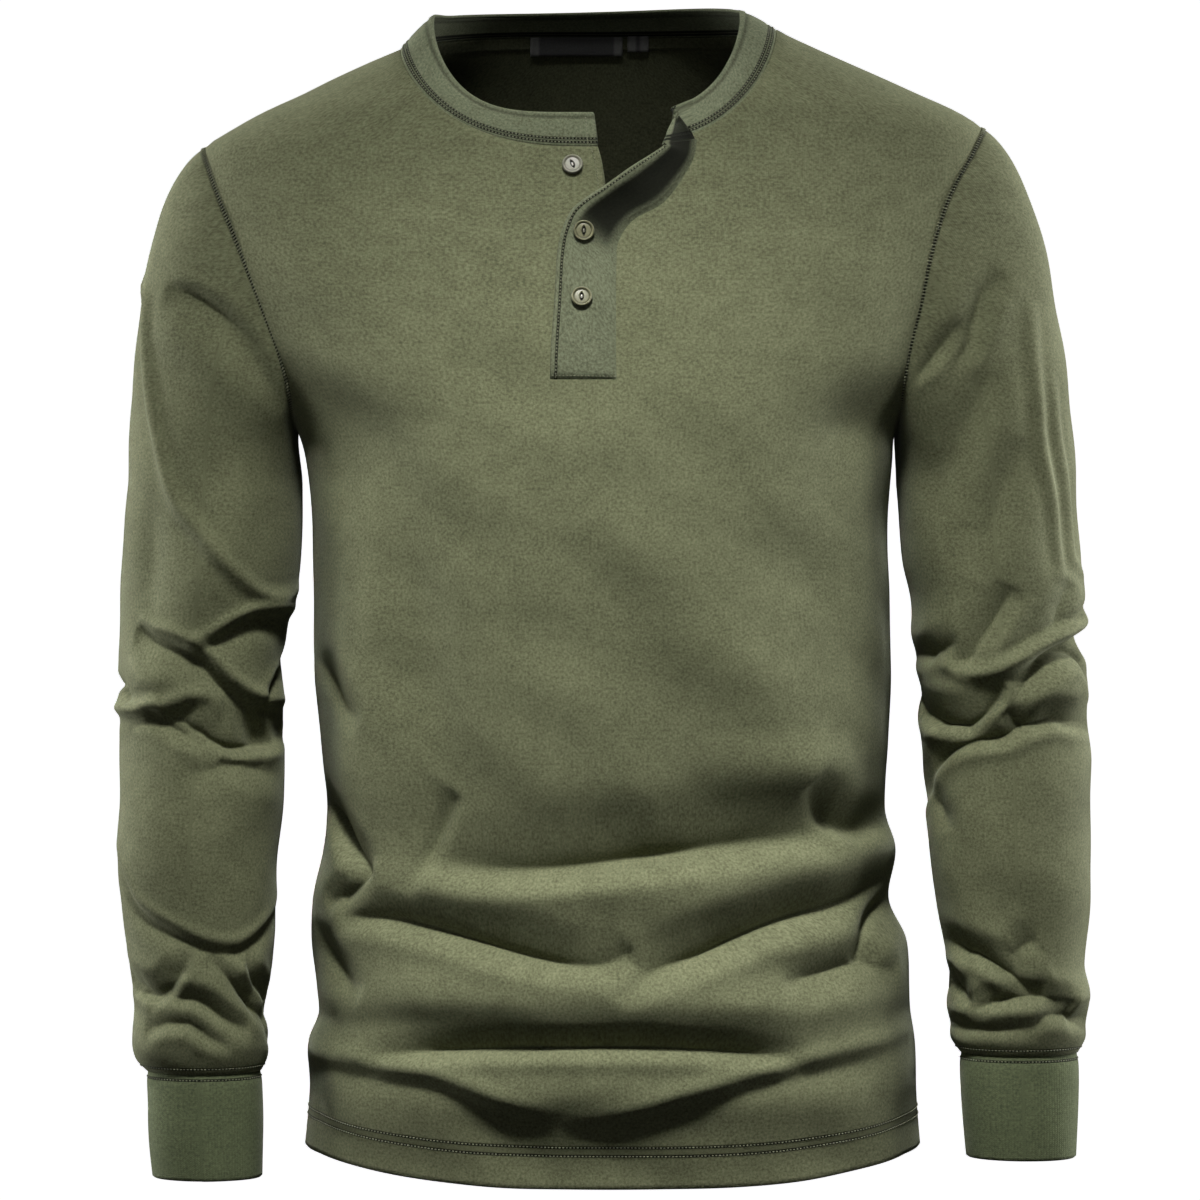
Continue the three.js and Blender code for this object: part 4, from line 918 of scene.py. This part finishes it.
def sleeve_moves(side, turn, z):
    a = (np.mod(turn + math.pi / 2, 2 * math.pi) - math.pi / 2) * ARM_RADIUS
    moves = np.zeros((3,) + a.shape)
    moves[0] = unevenness(ARM_RADIUS * np.sin(turn), ARM_RADIUS * np.cos(turn) + z, 11 + side, 0.7)
    for crease in SLEEVE_CREASES[side]:
        if "turned" in crease:
            line = smooth_line([(math.radians(t) * ARM_RADIUS, h) for t, h in crease["line"]], 24)
        else:
            line = sleeve_line(side, crease["line"])
        for lap in (0, 2 * math.pi * ARM_RADIUS):
            moves += crease_moves(a - lap, z, line, crease, SLEEVE_BUNCH)
    swells = SLEEVE_SWELLS[side]
    places = np.stack([np.radians(swells["across"]) * ARM_RADIUS, swells["down"]], axis=1)
    moves[0] += swell_height(a, z, places, swells)
    return moves


def sleeve_point(side, turn, travel):
    point = sleeve_form(side, turn, travel)
    fade = smoothstep(travel, *CAP_FADE) * smoothstep(2 - travel, *FOOT_FADE)
    inner = 1 - INNER_CALM * smoothstep(-side * np.sin(turn), *INNER_FADE)
    relief, slide_a, slide_z = sleeve_moves(side, turn, point[..., 2]) * fade * inner
    point[..., 0] += np.sin(turn) * relief + np.cos(turn) * slide_a
    point[..., 1] += np.sin(turn) * slide_a - np.cos(turn) * relief
    point[..., 2] += slide_z
    return point


SLEEVE_AROUND, CAP_ROWS, ARM_ROWS = 166, 60, 200
LADDER_PITCH, LADDER_SLANT, LADDER_LIFT, LADDER_LONG, LADDER_THICK = 2.0, 70, 0.75, 3.5, 0.85
LADDER_IN, LADDER_BESIDE, LOOP_POINTS, CUFF_STITCH = 0.95, 0.012, 600, 3.3
SEAM_THREAD = thread_finish("seam_thread", (0.210, 0.220, 0.125), (0.120, 0.128, 0.070))


def closed_net(index):
    """Faces between the rows of a grid that closes on itself."""
    return net(np.concatenate([index, index[:, :1]], axis=1))


def arm_core(side, z):
    """A place inside the sleeve at a height."""
    return side * 236, -16, z


for side, name, node in ((1, "sleeve_left_arm", "sleeve_left"), (-1, "sleeve_right_arm", "sleeve_right")):
    travels = np.concatenate([np.linspace(0, 1, CAP_ROWS + 1), 1 + np.linspace(0, 1, ARM_ROWS + 1)[1:]])[::-1]
    turns = np.linspace(0, 2 * math.pi, SLEEVE_AROUND + 1)[:-1]
    turn_grid, travel_grid = np.meshgrid(turns, travels)
    grid = sleeve_point(side, turn_grid, travel_grid)
    flat = np.stack([turn_grid * ARM_RADIUS, grid[..., 2]], axis=-1).reshape(-1, 2)
    top, foot = SLEEVE_ENDS[side]
    foot_far = ((2 - travel_grid) * (top - foot) - CUFF_STITCH).ravel()
    # Painted shade on the first millimetres of the sleeve along the armhole seam
    armhole_shade_paint = SEAM_SHADE * (1 - smoothstep(travel_grid, 0.006, 0.016)).ravel()
    cloth(name, grid.reshape(-1, 3), closed_net(numbered(grid)), flat, JERSEY_WALL,
                          OLIVE, node, armhole_shade_paint, (foot_far, 0))
    loop = np.linspace(-math.pi / 2, 1.5 * math.pi, LOOP_POINTS)
    seam = armhole_point(side, loop)
    seam[:, 0] -= side * LADDER_IN
    beside = sleeve_form(side, loop, np.full(loop.shape, LADDER_BESIDE))
    ladder = stitch_row(seam, beside, (side * 150, 0, -150), LADDER_PITCH, LADDER_SLANT, LADDER_LIFT)
    stitches(node + "_armhole_stitches", [ladder], LADDER_LONG, LADDER_THICK, SEAM_THREAD)
    near_foot = np.full(loop.shape, 2 - CUFF_STITCH / (top - foot))
    above_foot = near_foot - 0.003
    stitches(node + "_foot_stitches", [stitch_row(
        sleeve_point(side, loop, near_foot), sleeve_point(side, loop, above_foot), arm_core(side, foot))])

# Cuffs. Short tubes of doubled, darker rib-knit cotton, narrower than the sleeve end.
CUFF_WALL, CUFF_PINCH, CUFF_PINCH_ENDS, CUFF_UNEVEN = 2, 0.9, 15, 0.45
CUFF_GIRTH_RADIUS, CUFF_FLAT_RADIUS = 42, 30
CUFFS = {-1: (-690, 202.8, 268.8, -17, 25.5), 1: (-678, 219.8, 286, -17, 25.5)}
CUFF_ROWS, CUFF_AROUND = 40, 132
CUFF_OLIVE = jersey_finish("cuff_rib", (0.132, 0.156, 0.080), (0.058, 0.070, 0.036), 0.0016, 1.6)


def cuff_point(side, turns, share):
    """A place on the cuff: share 0 at its seam and 1 at its mouth."""
    sleeve = SLEEVES[side]
    top = np.array([sleeve[key][-1] for key in ("z", "near", "far", "centre", "depth")])
    top[0] -= SEAM_GAP
    z, near, far, centre, depth = (top[i] + (CUFFS[side][i] - top[i]) * share for i in range(5))
    pinch = CUFF_PINCH * np.exp(-(share * CUFF_PINCH_ENDS) ** 2)
    ripple = unevenness(turns * CUFF_GIRTH_RADIUS + 0 * z, z + 0 * turns, 21 + side, CUFF_UNEVEN)
    ripple = ripple * np.minimum(1, share * 3)
    bulge = np.sin(math.pi * np.clip(share, 0, 1)) - pinch + ripple
    x = side * (near + far) / 2 + ((far - near) / 2 + bulge) * np.sin(turns)
    return np.stack([x, centre - (depth + bulge) * np.cos(turns), z * np.ones_like(x)], axis=-1)


for side, name, node in ((1, "cuff_left_rib", "cuff_left"), (-1, "cuff_right_rib", "cuff_right")):
    turns, shares = np.meshgrid(np.linspace(0, 2 * math.pi, CUFF_AROUND + 1)[:-1],
                                np.linspace(1, 0, CUFF_ROWS + 1))
    grid = cuff_point(side, turns, shares)
    flat = np.stack([turns * CUFF_FLAT_RADIUS, grid[..., 2]], axis=-1).reshape(-1, 2)
    depth = SLEEVES[side]["z"][-1] - CUFFS[side][0]
    cloth(name, grid.reshape(-1, 3), closed_net(numbered(grid)), flat, CUFF_WALL,
                        CUFF_OLIVE, node, rows=((shares * depth - CUFF_STITCH).ravel(), 0))
    loop = np.linspace(0, 2 * math.pi, ROW_POINTS)
    share = np.full(loop.shape, CUFF_STITCH / depth)
    path, beside = cuff_point(side, loop, share), cuff_point(side, loop, share + 0.02)
    stitches(node + "_stitches", [stitch_row(path, beside, arm_core(side, CUFFS[side][0]))])

# Placket strip. The buttonhole side of the opening: a folded strip of jersey sewn to the edge of
# the slot on the wearer's left and across its foot. Unbuttoned at the top, it curls outwards.
STRIP = table(
    "station seam_x seam_z free_x free_z lift",
    (0, 9.2, -218, -28, -218, 0), (1, 9, -203, -27, -196, 0), (2, 9, -186, -25.5, -170, 0.5),
    (3, 9, -166, -24, -141, 1.5), (4, 9.4, -150, -20.5, -126, 4), (5, 10.5, -137, -14, -115.5, 10),
    (6, 19, -124, 2.5, -104.5, 17), (7, 38, -112, 18.5, -93, 20), (8, 53.5, -89, 35.5, -81.5, 18),
    (9, 57, -75, 36, -79.5, 18))
STRIP_CURL, LAID_LOW, LAID_ON, NOSE_FROM, NOSE_BACK = 1.6, 0.25, 0.6, 0.8, 4.5
STRIP_WIDE, STRIP_TALL, EDGE_STITCH, FOOT_STITCH, TURNED_SHADE = 36, 160, 2.7, 1.6, 0.94


def nose_back(across):
    """How far the free edge of the curled strip turns back in."""
    return np.clip((across - NOSE_FROM) / (1 - NOSE_FROM), 0, 1) ** 2 * NOSE_BACK


def turned_edge(across):
    """Share of painted shade: 1 on the underside that the curl shows, 0 past its nose."""
    return 1 - smoothstep(across, NOSE_FROM - 0.06, NOSE_FROM + 0.04)


def strip_point(across, travel):
    """A place on the strip: across 0 at the seam and 1 at the free edge, travel 0 at the foot."""
    station = travel * (len(STRIP["station"]) - 1)
    seam_x, seam_z, free_x, free_z, lift = (
        read(STRIP, "station", key, station) for key in ("seam_x", "seam_z", "free_x", "free_z", "lift"))
    x = seam_x + (free_x - seam_x) * across
    z = seam_z + (free_z - seam_z) * across
    point = body_point(turn_at(x, z), z, "front")
    nose = nose_back(across) * np.minimum(1, lift / 8)
    laid_on = (JERSEY_WALL + LAID_ON - LAID_LOW) * smoothstep(across, 0, 0.12) * smoothstep(travel, 0, 0.02)
    point[..., 1] -= LAID_LOW + laid_on + lift * np.maximum(across, 0) ** STRIP_CURL - nose
    return point


strip_across, strip_travel = np.meshgrid(np.linspace(1, 0, 41), np.linspace(0, 1, 141))
strip_grid = strip_point(strip_across, strip_travel)
strip_flat = np.stack([(1 - strip_across) * STRIP_WIDE, strip_travel * STRIP_TALL], axis=-1).reshape(-1, 2)
edge_far = ((1 - strip_across) * STRIP_WIDE - EDGE_STITCH).ravel()
# Painted shade on the underside that the curled top of the strip shows
turned = smoothstep(strip_travel, 0.42, 0.58) * turned_edge(strip_across)
turned *= smoothstep(strip_across, 0.0, 0.25)
STRIP_OLIVE = jersey_finish("strip_jersey", (0.172, 0.188, 0.117), (0.065, 0.072, 0.041), 0.0008, 0.9, 0.03)
strip = cloth("placket_strip", strip_grid.reshape(-1, 3), net(numbered(strip_grid)), strip_flat, JERSEY_WALL,
              STRIP_OLIVE, "placket_over", TURNED_SHADE * turned.ravel(), (edge_far, 0))
run = np.linspace(0, 1, ROW_POINTS)
edge_in = np.full(ROW_POINTS, 1 - EDGE_STITCH / STRIP_WIDE)
foot_up = np.full(ROW_POINTS, FOOT_STITCH / STRIP_TALL)
stitches("placket_stitches", [
    stitch_row(strip_point(edge_in, run), strip_point(edge_in - 0.03, run), (0, 0, -150)),
    stitch_row(strip_point(run, foot_up), strip_point(run, foot_up + 0.01), (0, 0, -150))])

# Neckband. A folded strip of jersey sewn round the neckline, open at the front. Its far end
# turns out with the placket strip.
BAND_WALL, BAND_DEEP, BAND_STITCH, BAND_STITCH_GAP, BAND_FOLD = 2, 21, 2.7, 1.2, 3.6
BAND_X, BAND_Y, BAND_HALF_WIDTH, BAND_HALF_DEPTH, BAND_FRONT = -8, -5, 93, 62, -58
BAND_MINUS, BAND_PLUS, BAND_BACK, BAND_END_X = 6, 10, 19, 54
FLAP_X, FLAP_Z, FLAP_LIFT = 45.4, -59, 14
NECK_CENTRE, NECK_REACH, BAND_LEAN = -6, 112.6, 1.3


def band_top_point(x, face):
    out = np.clip((x - BAND_X) / BAND_HALF_WIDTH, -1, 1)
    bow = (1 - np.abs(out) ** 2.6) ** (1 / 2.6)
    side = np.where(out < 0, BAND_MINUS, BAND_PLUS)
    share = 1 - (1 - out ** 4) ** NECK_EASE
    front_z = BAND_FRONT * (1 - share) + side * share
    back_z = side + (BAND_BACK + 2.5 * out - side) * (1 - out ** 4) ** 0.4
    y, z = BAND_Y + FORWARD[face] * BAND_HALF_DEPTH * bow, front_z if face == "front" else back_z
    return np.stack([x * np.ones_like(bow), y, z * np.ones_like(bow)], axis=-1)


def band_top_x(seam_x):
    slot_end = SLOT["over"][0]
    out = (seam_x - NECK_CENTRE) / NECK_REACH
    far = BAND_X + BAND_HALF_WIDTH
    past = np.clip((seam_x - slot_end) / (NECK_CENTRE + NECK_REACH - slot_end), 0, 1)
    return np.where(seam_x < slot_end, BAND_X + BAND_HALF_WIDTH * np.maximum(out, -1),
                    BAND_END_X + (far - BAND_END_X) * past)


under_low, over_low = under_points[-1][::-1], over_points[-1]
back_low = back_grid[-1]
under_high = band_top_point(band_top_x(under_low[:, 0]), "front")
over_high = band_top_point(band_top_x(over_low[:, 0]), "front")
back_x = back_low[:, 0]
back_top_x = np.where(back_x > BAND_X, BAND_X + (back_x - NECK_CENTRE) / NECK_REACH * BAND_HALF_WIDTH,
                      band_top_x(back_x))
back_high = band_top_point(back_top_x, "back")
back_high[[0, -1], 1] = BAND_Y
back_low = back_low.copy()
back_low[0, 1] = 0
steps = np.linspace(0, 1, 25)[1:]
flap_low = strip_point(steps, np.ones_like(steps))
last = over_high[-1]
flap_y = last[1] - FLAP_LIFT * steps ** STRIP_CURL + nose_back(steps)
flap_x, flap_z = last[0] + (FLAP_X - last[0]) * steps, last[2] + (FLAP_Z - last[2]) * steps
flap_high = np.stack([flap_x, flap_y, flap_z], axis=-1)
band_low = np.concatenate([under_low[:-1], back_low[:-1], over_low, flap_low])
band_high = np.concatenate([under_high[:-1], back_high[:-1], over_high, flap_high])


def round_corner(line, first, last):
    """Puts one smooth curve, evenly divided, in place of the points between two places on a line."""
    start, end = line[first], line[last]
    leave, arrive = start - line[first - 1], line[last + 1] - end
    chord = np.linalg.norm(end - start)
    leave, arrive = (step / np.linalg.norm(step) * chord for step in (leave, arrive))
    line[first:last + 1] = swung(np.linspace(0, 1, last - first + 1)[:, None], start, leave, end, arrive)


minus_shoulder = len(under_low) - 1
plus_shoulder = minus_shoulder + len(back_low) - 1
for line, columns_before in ((band_low, 3), (band_high, 10)):
    round_corner(line, minus_shoulder - columns_before, minus_shoulder + 22)
    round_corner(line, plus_shoulder - 10, plus_shoulder + 6)
way = band_high - band_low
way /= np.linalg.norm(way, axis=1, keepdims=True)
band_low = band_low + way * BAND_LEAN
BAND_ROWS = 20
levels = np.linspace(0, 1, BAND_ROWS + 1)[::-1]
band_grid = band_low[None] + (band_high - band_low)[None] * levels[:, None, None]
band_net = net(numbered(band_grid))
band_normals = point_normals(band_grid.reshape(-1, 3), band_net).reshape(band_grid.shape)
from_fold = (1 - levels) * BAND_DEEP - BAND_FOLD
# The band swells a little between its edges, with a line pressed in below its fold and over its seam
band_relief = (
    0.8 * np.sin(math.pi * levels) - 0.4 * np.exp(-(from_fold / 0.9) ** 2)
    + 0.5 * np.exp(-((from_fold + 1.8) / 1) ** 2) - 0.35 * np.exp(-((levels * BAND_DEEP - 4.6) / 1.2) ** 2))
band_grid = band_grid + band_normals * band_relief[:, None, None]
band_run = run_along(band_low)
band_flat = np.stack(np.broadcast_arrays(band_run[None], levels[:, None] * BAND_DEEP), axis=-1).reshape(-1, 2)
band_far = np.repeat(levels * BAND_DEEP - BAND_STITCH, band_grid.shape[1])
# Painted shade on the turned-out end and along the line pressed in below the fold, and a lighter painted
# shade on the band's inside
band_turned = np.zeros(band_grid.shape[1])
band_turned[-len(steps):] = smoothstep(steps, -0.02, 0.05) * turned_edge(steps)
band_shade_paint = TURNED_SHADE * band_turned[None] + 0.55 * np.exp(-(from_fold / 0.9) ** 2)[:, None]
# A greener copy of the jersey, also made lighter as painted light, since the band gets less light than the
# panels
BAND_OLIVE = jersey_finish("band_jersey", (0.200, 0.220, 0.138), (0.077, 0.086, 0.049), 0.0008, 0.9, 0.12)
band = cloth("neckband_ring", band_grid.reshape(-1, 3), band_net, band_flat, BAND_WALL, BAND_OLIVE,
             "neckband", band_shade_paint.ravel(), (band_far, BAND_STITCH_GAP), 0.45)


def band_line(height):
    """A line round the outside of the band at a height above its seam."""
    row = (1 - height / BAND_DEEP) * BAND_ROWS
    low = int(row)
    line = band_grid[low] + (band_grid[low + 1] - band_grid[low]) * (row - low)
    return line[:-len(steps)]


end_column = int(np.searchsorted(band_run, BAND_FOLD))
slot_heights = np.linspace(NECK_FRONT - 1, -128, 60)
slot_x = read(SLOT, "z", "under", slot_heights) - BAND_FOLD
end_path = np.concatenate([
    band_grid[3:, end_column], body_point(turn_at(slot_x, slot_heights), slot_heights, "front")])
stitches("neckband_stitches", [
    stitch_row(band_line(h), band_line(h + 1), (BAND_X, BAND_Y, -30))
    for h in (BAND_STITCH - BAND_STITCH_GAP, BAND_STITCH + BAND_STITCH_GAP)]
    + [stitch_row(end_path, end_path + np.array([1, 0, 0]), (0, 0, -100))])

# Neck tape and labels. A narrow tape of jersey covers the back neck seam inside, and two bare black
# ribbon tabs, a wide one and a small one, are sewn over it.
RIBBON_WALL = 0.8


def inside_piece(name, node, from_x, to_x, below, height, behind, finish):
    """A ribbon on the inside of the back panel, below its neck seam."""
    left, right = edge_place(np.array([NECK_POINT]), -1), edge_place(np.array([NECK_POINT]), 1)
    count, levels = max(6, int((to_x - from_x) / 1.5)), 9
    x, drop = np.meshgrid(np.linspace(from_x, to_x, count), np.linspace(0, height, levels))
    z = row_height(np.full(x.shape, float(NECK_POINT)), "back", left, right, x) - below - drop
    points = body_point(turn_at(x, z), z, "back")
    points[..., 1] -= behind
    flat = np.stack([x - from_x, drop], axis=-1).reshape(-1, 2)
    faces = net(numbered(x))
    if point_normals(points.reshape(-1, 3), faces)[:, 1].mean() > 0:
        faces = faces[:, ::-1]
    return cloth(name, points.reshape(-1, 3), faces, flat, RIBBON_WALL, finish, node)


def ribbon_finish(name, wide):
    """Black satin ribbon: fine weft lines, with a painted highlight that makes both folded ends a little
    lighter.
    """
    finish = Finish(name, Specular_IOR_Level=0.4, Sheen_Weight=0.2)
    across, down, cut = finish.cut_place()
    weft = (down * (2 * math.pi / 0.0003)).alone("SINE")
    from_middle = (across - wide / 2000).alone("ABSOLUTE")
    # Painted highlight on both ends, where the ribbon folds under
    end_highlight = finish.ramp(from_middle, wide / 2000 - 0.006, wide / 2000 - 0.004, 0.0, 1.0)
    grain = finish.noise(cut, 900.0, 2.0)
    colour = finish.mix(end_highlight * 0.55 + grain * 0.35, (0.016, 0.016, 0.016), (0.16, 0.16, 0.15))
    return finish.surface(Base_Color=colour, Roughness=0.45 + grain * 0.15,
                          Normal=finish.bump(0.3, 0.0001, weft + grain))


# The tape's jersey is a darker copy of the olive: painted shade for its place inside the neck
TAPE_IN_SHADE = jersey_finish("tape_jersey_shaded", (0.110, 0.116, 0.066), (0.045, 0.049, 0.027), 0.0008, 0.9)
tape = inside_piece("neck_tape_strip", "neck_tape", -98, 88, 1.5, 6, 2.5, TAPE_IN_SHADE)
label = inside_piece("neck_label_ribbon", "neck_label", -43, 13.7, 1, 10.5, 3.8,
                     ribbon_finish("label_satin", 56.7))
tab = inside_piece("size_tab_ribbon", "size_tab", 17.4, 29.9, 0.5, 8.5, 3.8,
                   ribbon_finish("tab_satin", 12.5))

# Buttons. Three two-hole shirt buttons of horn-look resin, with a raised rim and a lens-shaped eye
# between the holes, each sewn on through both holes with pale thread.
BUTTON_RADIUS, BUTTON_GAP, GROOVE_OUT = 6.15, 0.7, 4.4
BUTTON_PROFILE = table(
    "out up",
    (0, 1.75), (2.6, 1.72), (3.9, 1.6), (4.35, 1.5), (4.7, 1.85), (5.2, 2.4), (5.6, 2.4), (5.95, 2.0),
    (BUTTON_RADIUS, 1.4))
EYE_HALF, EYE_WIDE, EYE_DEEP, HOLE_OUT, HOLE_RADIUS, HOLE_DEEP = 3.2, 1.4, 0.6, 1.6, 0.8, 1.5
THREAD_UP, STRAND_LONG, STRAND_THICK = 1.35, 2.4, 0.36
THREAD_STRANDS = ((-0.2, 0), (0, 0.1), (0.2, 0))


def button_finish(name, light, dark):
    """Polished resin with cloudy streaks, with painted shade in the grooves, the holes, the eye and round the
    rim.
    """
    finish = Finish(name, IOR=1.5, Specular_IOR_Level=0.3, Coat_Weight=0.1, Coat_Roughness=0.25)
    place = finish.node("ShaderNodeTexCoord", output=3)
    cloud = finish.noise(place, 260.0, 3.0, Distortion=1.2)
    colour = finish.mix(cloud * 1.3 - 0.15, dark, light)
    shaded = finish.mix(finish.point_value("recess_shade"), colour, tuple(c * 0.12 for c in dark))
    bump = finish.bump(0.12, 0.0001, finish.noise(place, 1500.0, 2.0))
    return finish.surface(Base_Color=shaded, Roughness=0.38 + cloud * 0.15, Normal=bump)


def seat_on(point_at, first, second, step):
    """A place on a surface and the direction out of the chest there."""
    spot = point_at(first, second)
    normal = np.cross(point_at(first + step, second) - spot, point_at(first, second + step) - spot)
    normal /= np.linalg.norm(normal)
    return spot, normal if normal[1] < 0 else -normal


def strip_place(x, z):
    """Across and travel of the place on the strip that is nearest in the front view."""
    across, travel = np.meshgrid(np.linspace(0.1, 0.95, 120), np.linspace(0.02, 0.8, 300))
    spots = strip_point(across, travel)
    near = np.unravel_index(np.argmin((spots[..., 0] - x) ** 2 + (spots[..., 2] - z) ** 2), across.shape)
    return across[near], travel[near]


def chest_place(x, z):
    return body_point(turn_at(np.array(x), np.array(z)), np.array(z), "front")


def button(name, node, seat, turn, finish):
    """A button on its seat, with the line through its two holes turned from upright by an angle."""
    spot, normal = seat
    eye = unit(np.array([0, 0, 1.0]) - normal * normal[2])
    beside = np.cross(normal, eye)
    angle = math.radians(turn)
    eye, beside = (eye * math.cos(angle) + beside * math.sin(angle),
                   beside * math.cos(angle) - eye * math.sin(angle))
    rings = np.concatenate([[0.001], np.linspace(0.2, EYE_HALF, 18), np.linspace(3.4, BUTTON_RADIUS, 18)])
    turns = np.linspace(0, 2 * math.pi, 73)[:-1]
    out, around_turn = rings[:, None], turns[None]
    u, v = out * np.cos(around_turn), out * np.sin(around_turn)
    out = out + 0 * u
    lens = smoothstep(EYE_WIDE * (1 - (u / EYE_HALF) ** 2) - np.abs(v), -0.1, 0.3) * (np.abs(u) < EYE_HALF)
    hole = smoothstep(HOLE_RADIUS - np.hypot(np.abs(u) - HOLE_OUT, v), -0.05, 0.2)
    up = read(BUTTON_PROFILE, "out", "up", out) - EYE_DEEP * lens - HOLE_DEEP * hole * (1 - 0.4 * lens)
    # Painted shade in the eye, the holes, the ring groove and round the rim
    recess_shade = np.clip(0.85 * lens + hole + 0.6 * np.exp(-((out - GROOVE_OUT) / 0.35) ** 2)
                   + 0.85 * smoothstep(out, 5.75, 6.1), 0, 1)
    under = np.array([[BUTTON_RADIUS - 0.15, 0.7], [BUTTON_RADIUS - 1, 0.1], [0.001, 0]])
    u = np.concatenate([u, under[:, :1] * np.cos(around_turn)])
    v = np.concatenate([v, under[:, :1] * np.sin(around_turn)])
    up = np.concatenate([up, under[:, 1:] + 0 * around_turn])
    recess_shade = np.concatenate([recess_shade, np.zeros((3, len(turns)))])
    points = spot + normal * (up[..., None] + BUTTON_GAP) + eye * u[..., None] + beside * v[..., None]
    index = numbered(u)
    faces = closed_net(index)
    flat_points = points.reshape(-1, 3)
    if np.sum(point_normals(flat_points, faces)[index[5]] @ normal) < 0:
        faces = faces[:, ::-1]
    mesh = bpy.data.meshes.new(name)
    mesh.from_pydata((flat_points / 1000).tolist(), [], faces.tolist())
    give_points(mesh, {"recess_shade": recess_shade.ravel()})
    mesh.materials.append(finish)
    piece = in_scene(name, mesh)
    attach(piece, "root")
    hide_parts(node)
    middle = spot + normal * (BUTTON_GAP + THREAD_UP)
    strands = [(middle + beside * offset + normal * rise)[None] for offset, rise in THREAD_STRANDS]
    stitches(name + "_thread", [(strand, eye[None], normal[None]) for strand in strands],
             STRAND_LONG, STRAND_THICK, PALE_THREAD, 0)
    return piece


PALE_THREAD = thread_finish("pale_thread", (0.62, 0.60, 0.50), (0.34, 0.33, 0.26))
GREY_HORN = button_finish("grey_horn", (0.30, 0.295, 0.225), (0.17, 0.168, 0.120))
TAN_HORN = button_finish("tan_horn", (0.200, 0.198, 0.108), (0.115, 0.112, 0.058))
button("button_top", "button_1", seat_on(chest_place, -16.1, -90.8, 0.5), 24, GREY_HORN)
for name, node, x, z in (("button_middle", "button_2", -9.3, -131),
                         ("button_low", "button_3", -10.7, -170.5)):
    button(name, node, seat_on(strip_point, *strip_place(x, z), 0.01), 0, TAN_HORN)

# Room. A plain white backdrop and floor, large soft lights from above and both sides, and a
# camera level with the middle of the shirt, straight in front of it.
ROOM_WIDE, ROOM_LOW, ROOM_HIGH = 9, -3, 6
ROOM_CORNERS = [(x, y, z) for z in (ROOM_LOW, ROOM_HIGH)
                for x, y in ((-ROOM_WIDE, -ROOM_WIDE), (ROOM_WIDE, -ROOM_WIDE),
                             (ROOM_WIDE, ROOM_WIDE), (-ROOM_WIDE, ROOM_WIDE))]


def stage_plane(name, faces):
    """Walls of the room, which the camera sees but no light falls from."""
    mesh = bpy.data.meshes.new(name)
    mesh.from_pydata(ROOM_CORNERS, [], faces)
    plane = in_scene(name, mesh)
    white = Finish(name + "_white", Base_Color=(0.9, 0.9, 0.9, 1), Emission_Color=(1, 1, 1, 1),
                   Emission_Strength=1.0, Roughness=0.9)
    mesh.materials.append(white.material)
    plane.visible_diffuse = plane.visible_glossy = plane.visible_shadow = False


stage_plane("backdrop", [(0, 1, 5, 4), (1, 2, 6, 5), (2, 3, 7, 6), (3, 0, 4, 7), (4, 5, 6, 7)])
stage_plane("floor", [(0, 1, 2, 3)])


def soft_light(name, place, target, width, height, power, spread=180):
    lamp = bpy.data.lights.new(name, "AREA")
    lamp.shape, lamp.size, lamp.size_y, lamp.energy = "RECTANGLE", width, height, power
    lamp.spread = math.radians(spread)
    holder = in_scene(name, lamp)
    holder.location = place
    holder.rotation_euler = (Vector(target) - Vector(place)).to_track_quat("-Z", "Y").to_euler()


MIDDLE = (0, 0, -0.33)
soft_light("key_light", (-0.05, -1.15, 1.1), (0.03, -0.1, -0.65), 0.4, 0.3, 2.95, 36)
soft_light("front_fill", (-0.4, -2.2, -0.1), MIDDLE, 1.2, 1.2, 2.1)
soft_light("left_rim", (-1.5, 0.35, 0.1), MIDDLE, 0.7, 1.6, 38)
soft_light("right_rim", (1.5, 0.35, 0.1), MIDDLE, 0.7, 1.6, 41)
world = bpy.data.worlds.new("studio")
bpy.context.scene.world = world
world.use_nodes = True
background = world.node_tree.nodes["Background"]
background.inputs["Color"].default_value, background.inputs["Strength"].default_value = (1, 1, 1, 1), 0.035

camera = bpy.data.cameras.new("camera")
camera.sensor_width = 36
camera.lens = camera.sensor_width * CAMERA_AWAY / (PICTURE_WIDE * UNIT)
camera_holder = in_scene("camera", camera)
camera_holder.location = (0, -CAMERA_AWAY / 1000, CAMERA_HEIGHT / 1000)
camera_holder.rotation_euler = (math.pi / 2, 0, 0)
bpy.context.scene.camera = camera_holder
bpy.context.scene.view_settings.view_transform = "Standard"
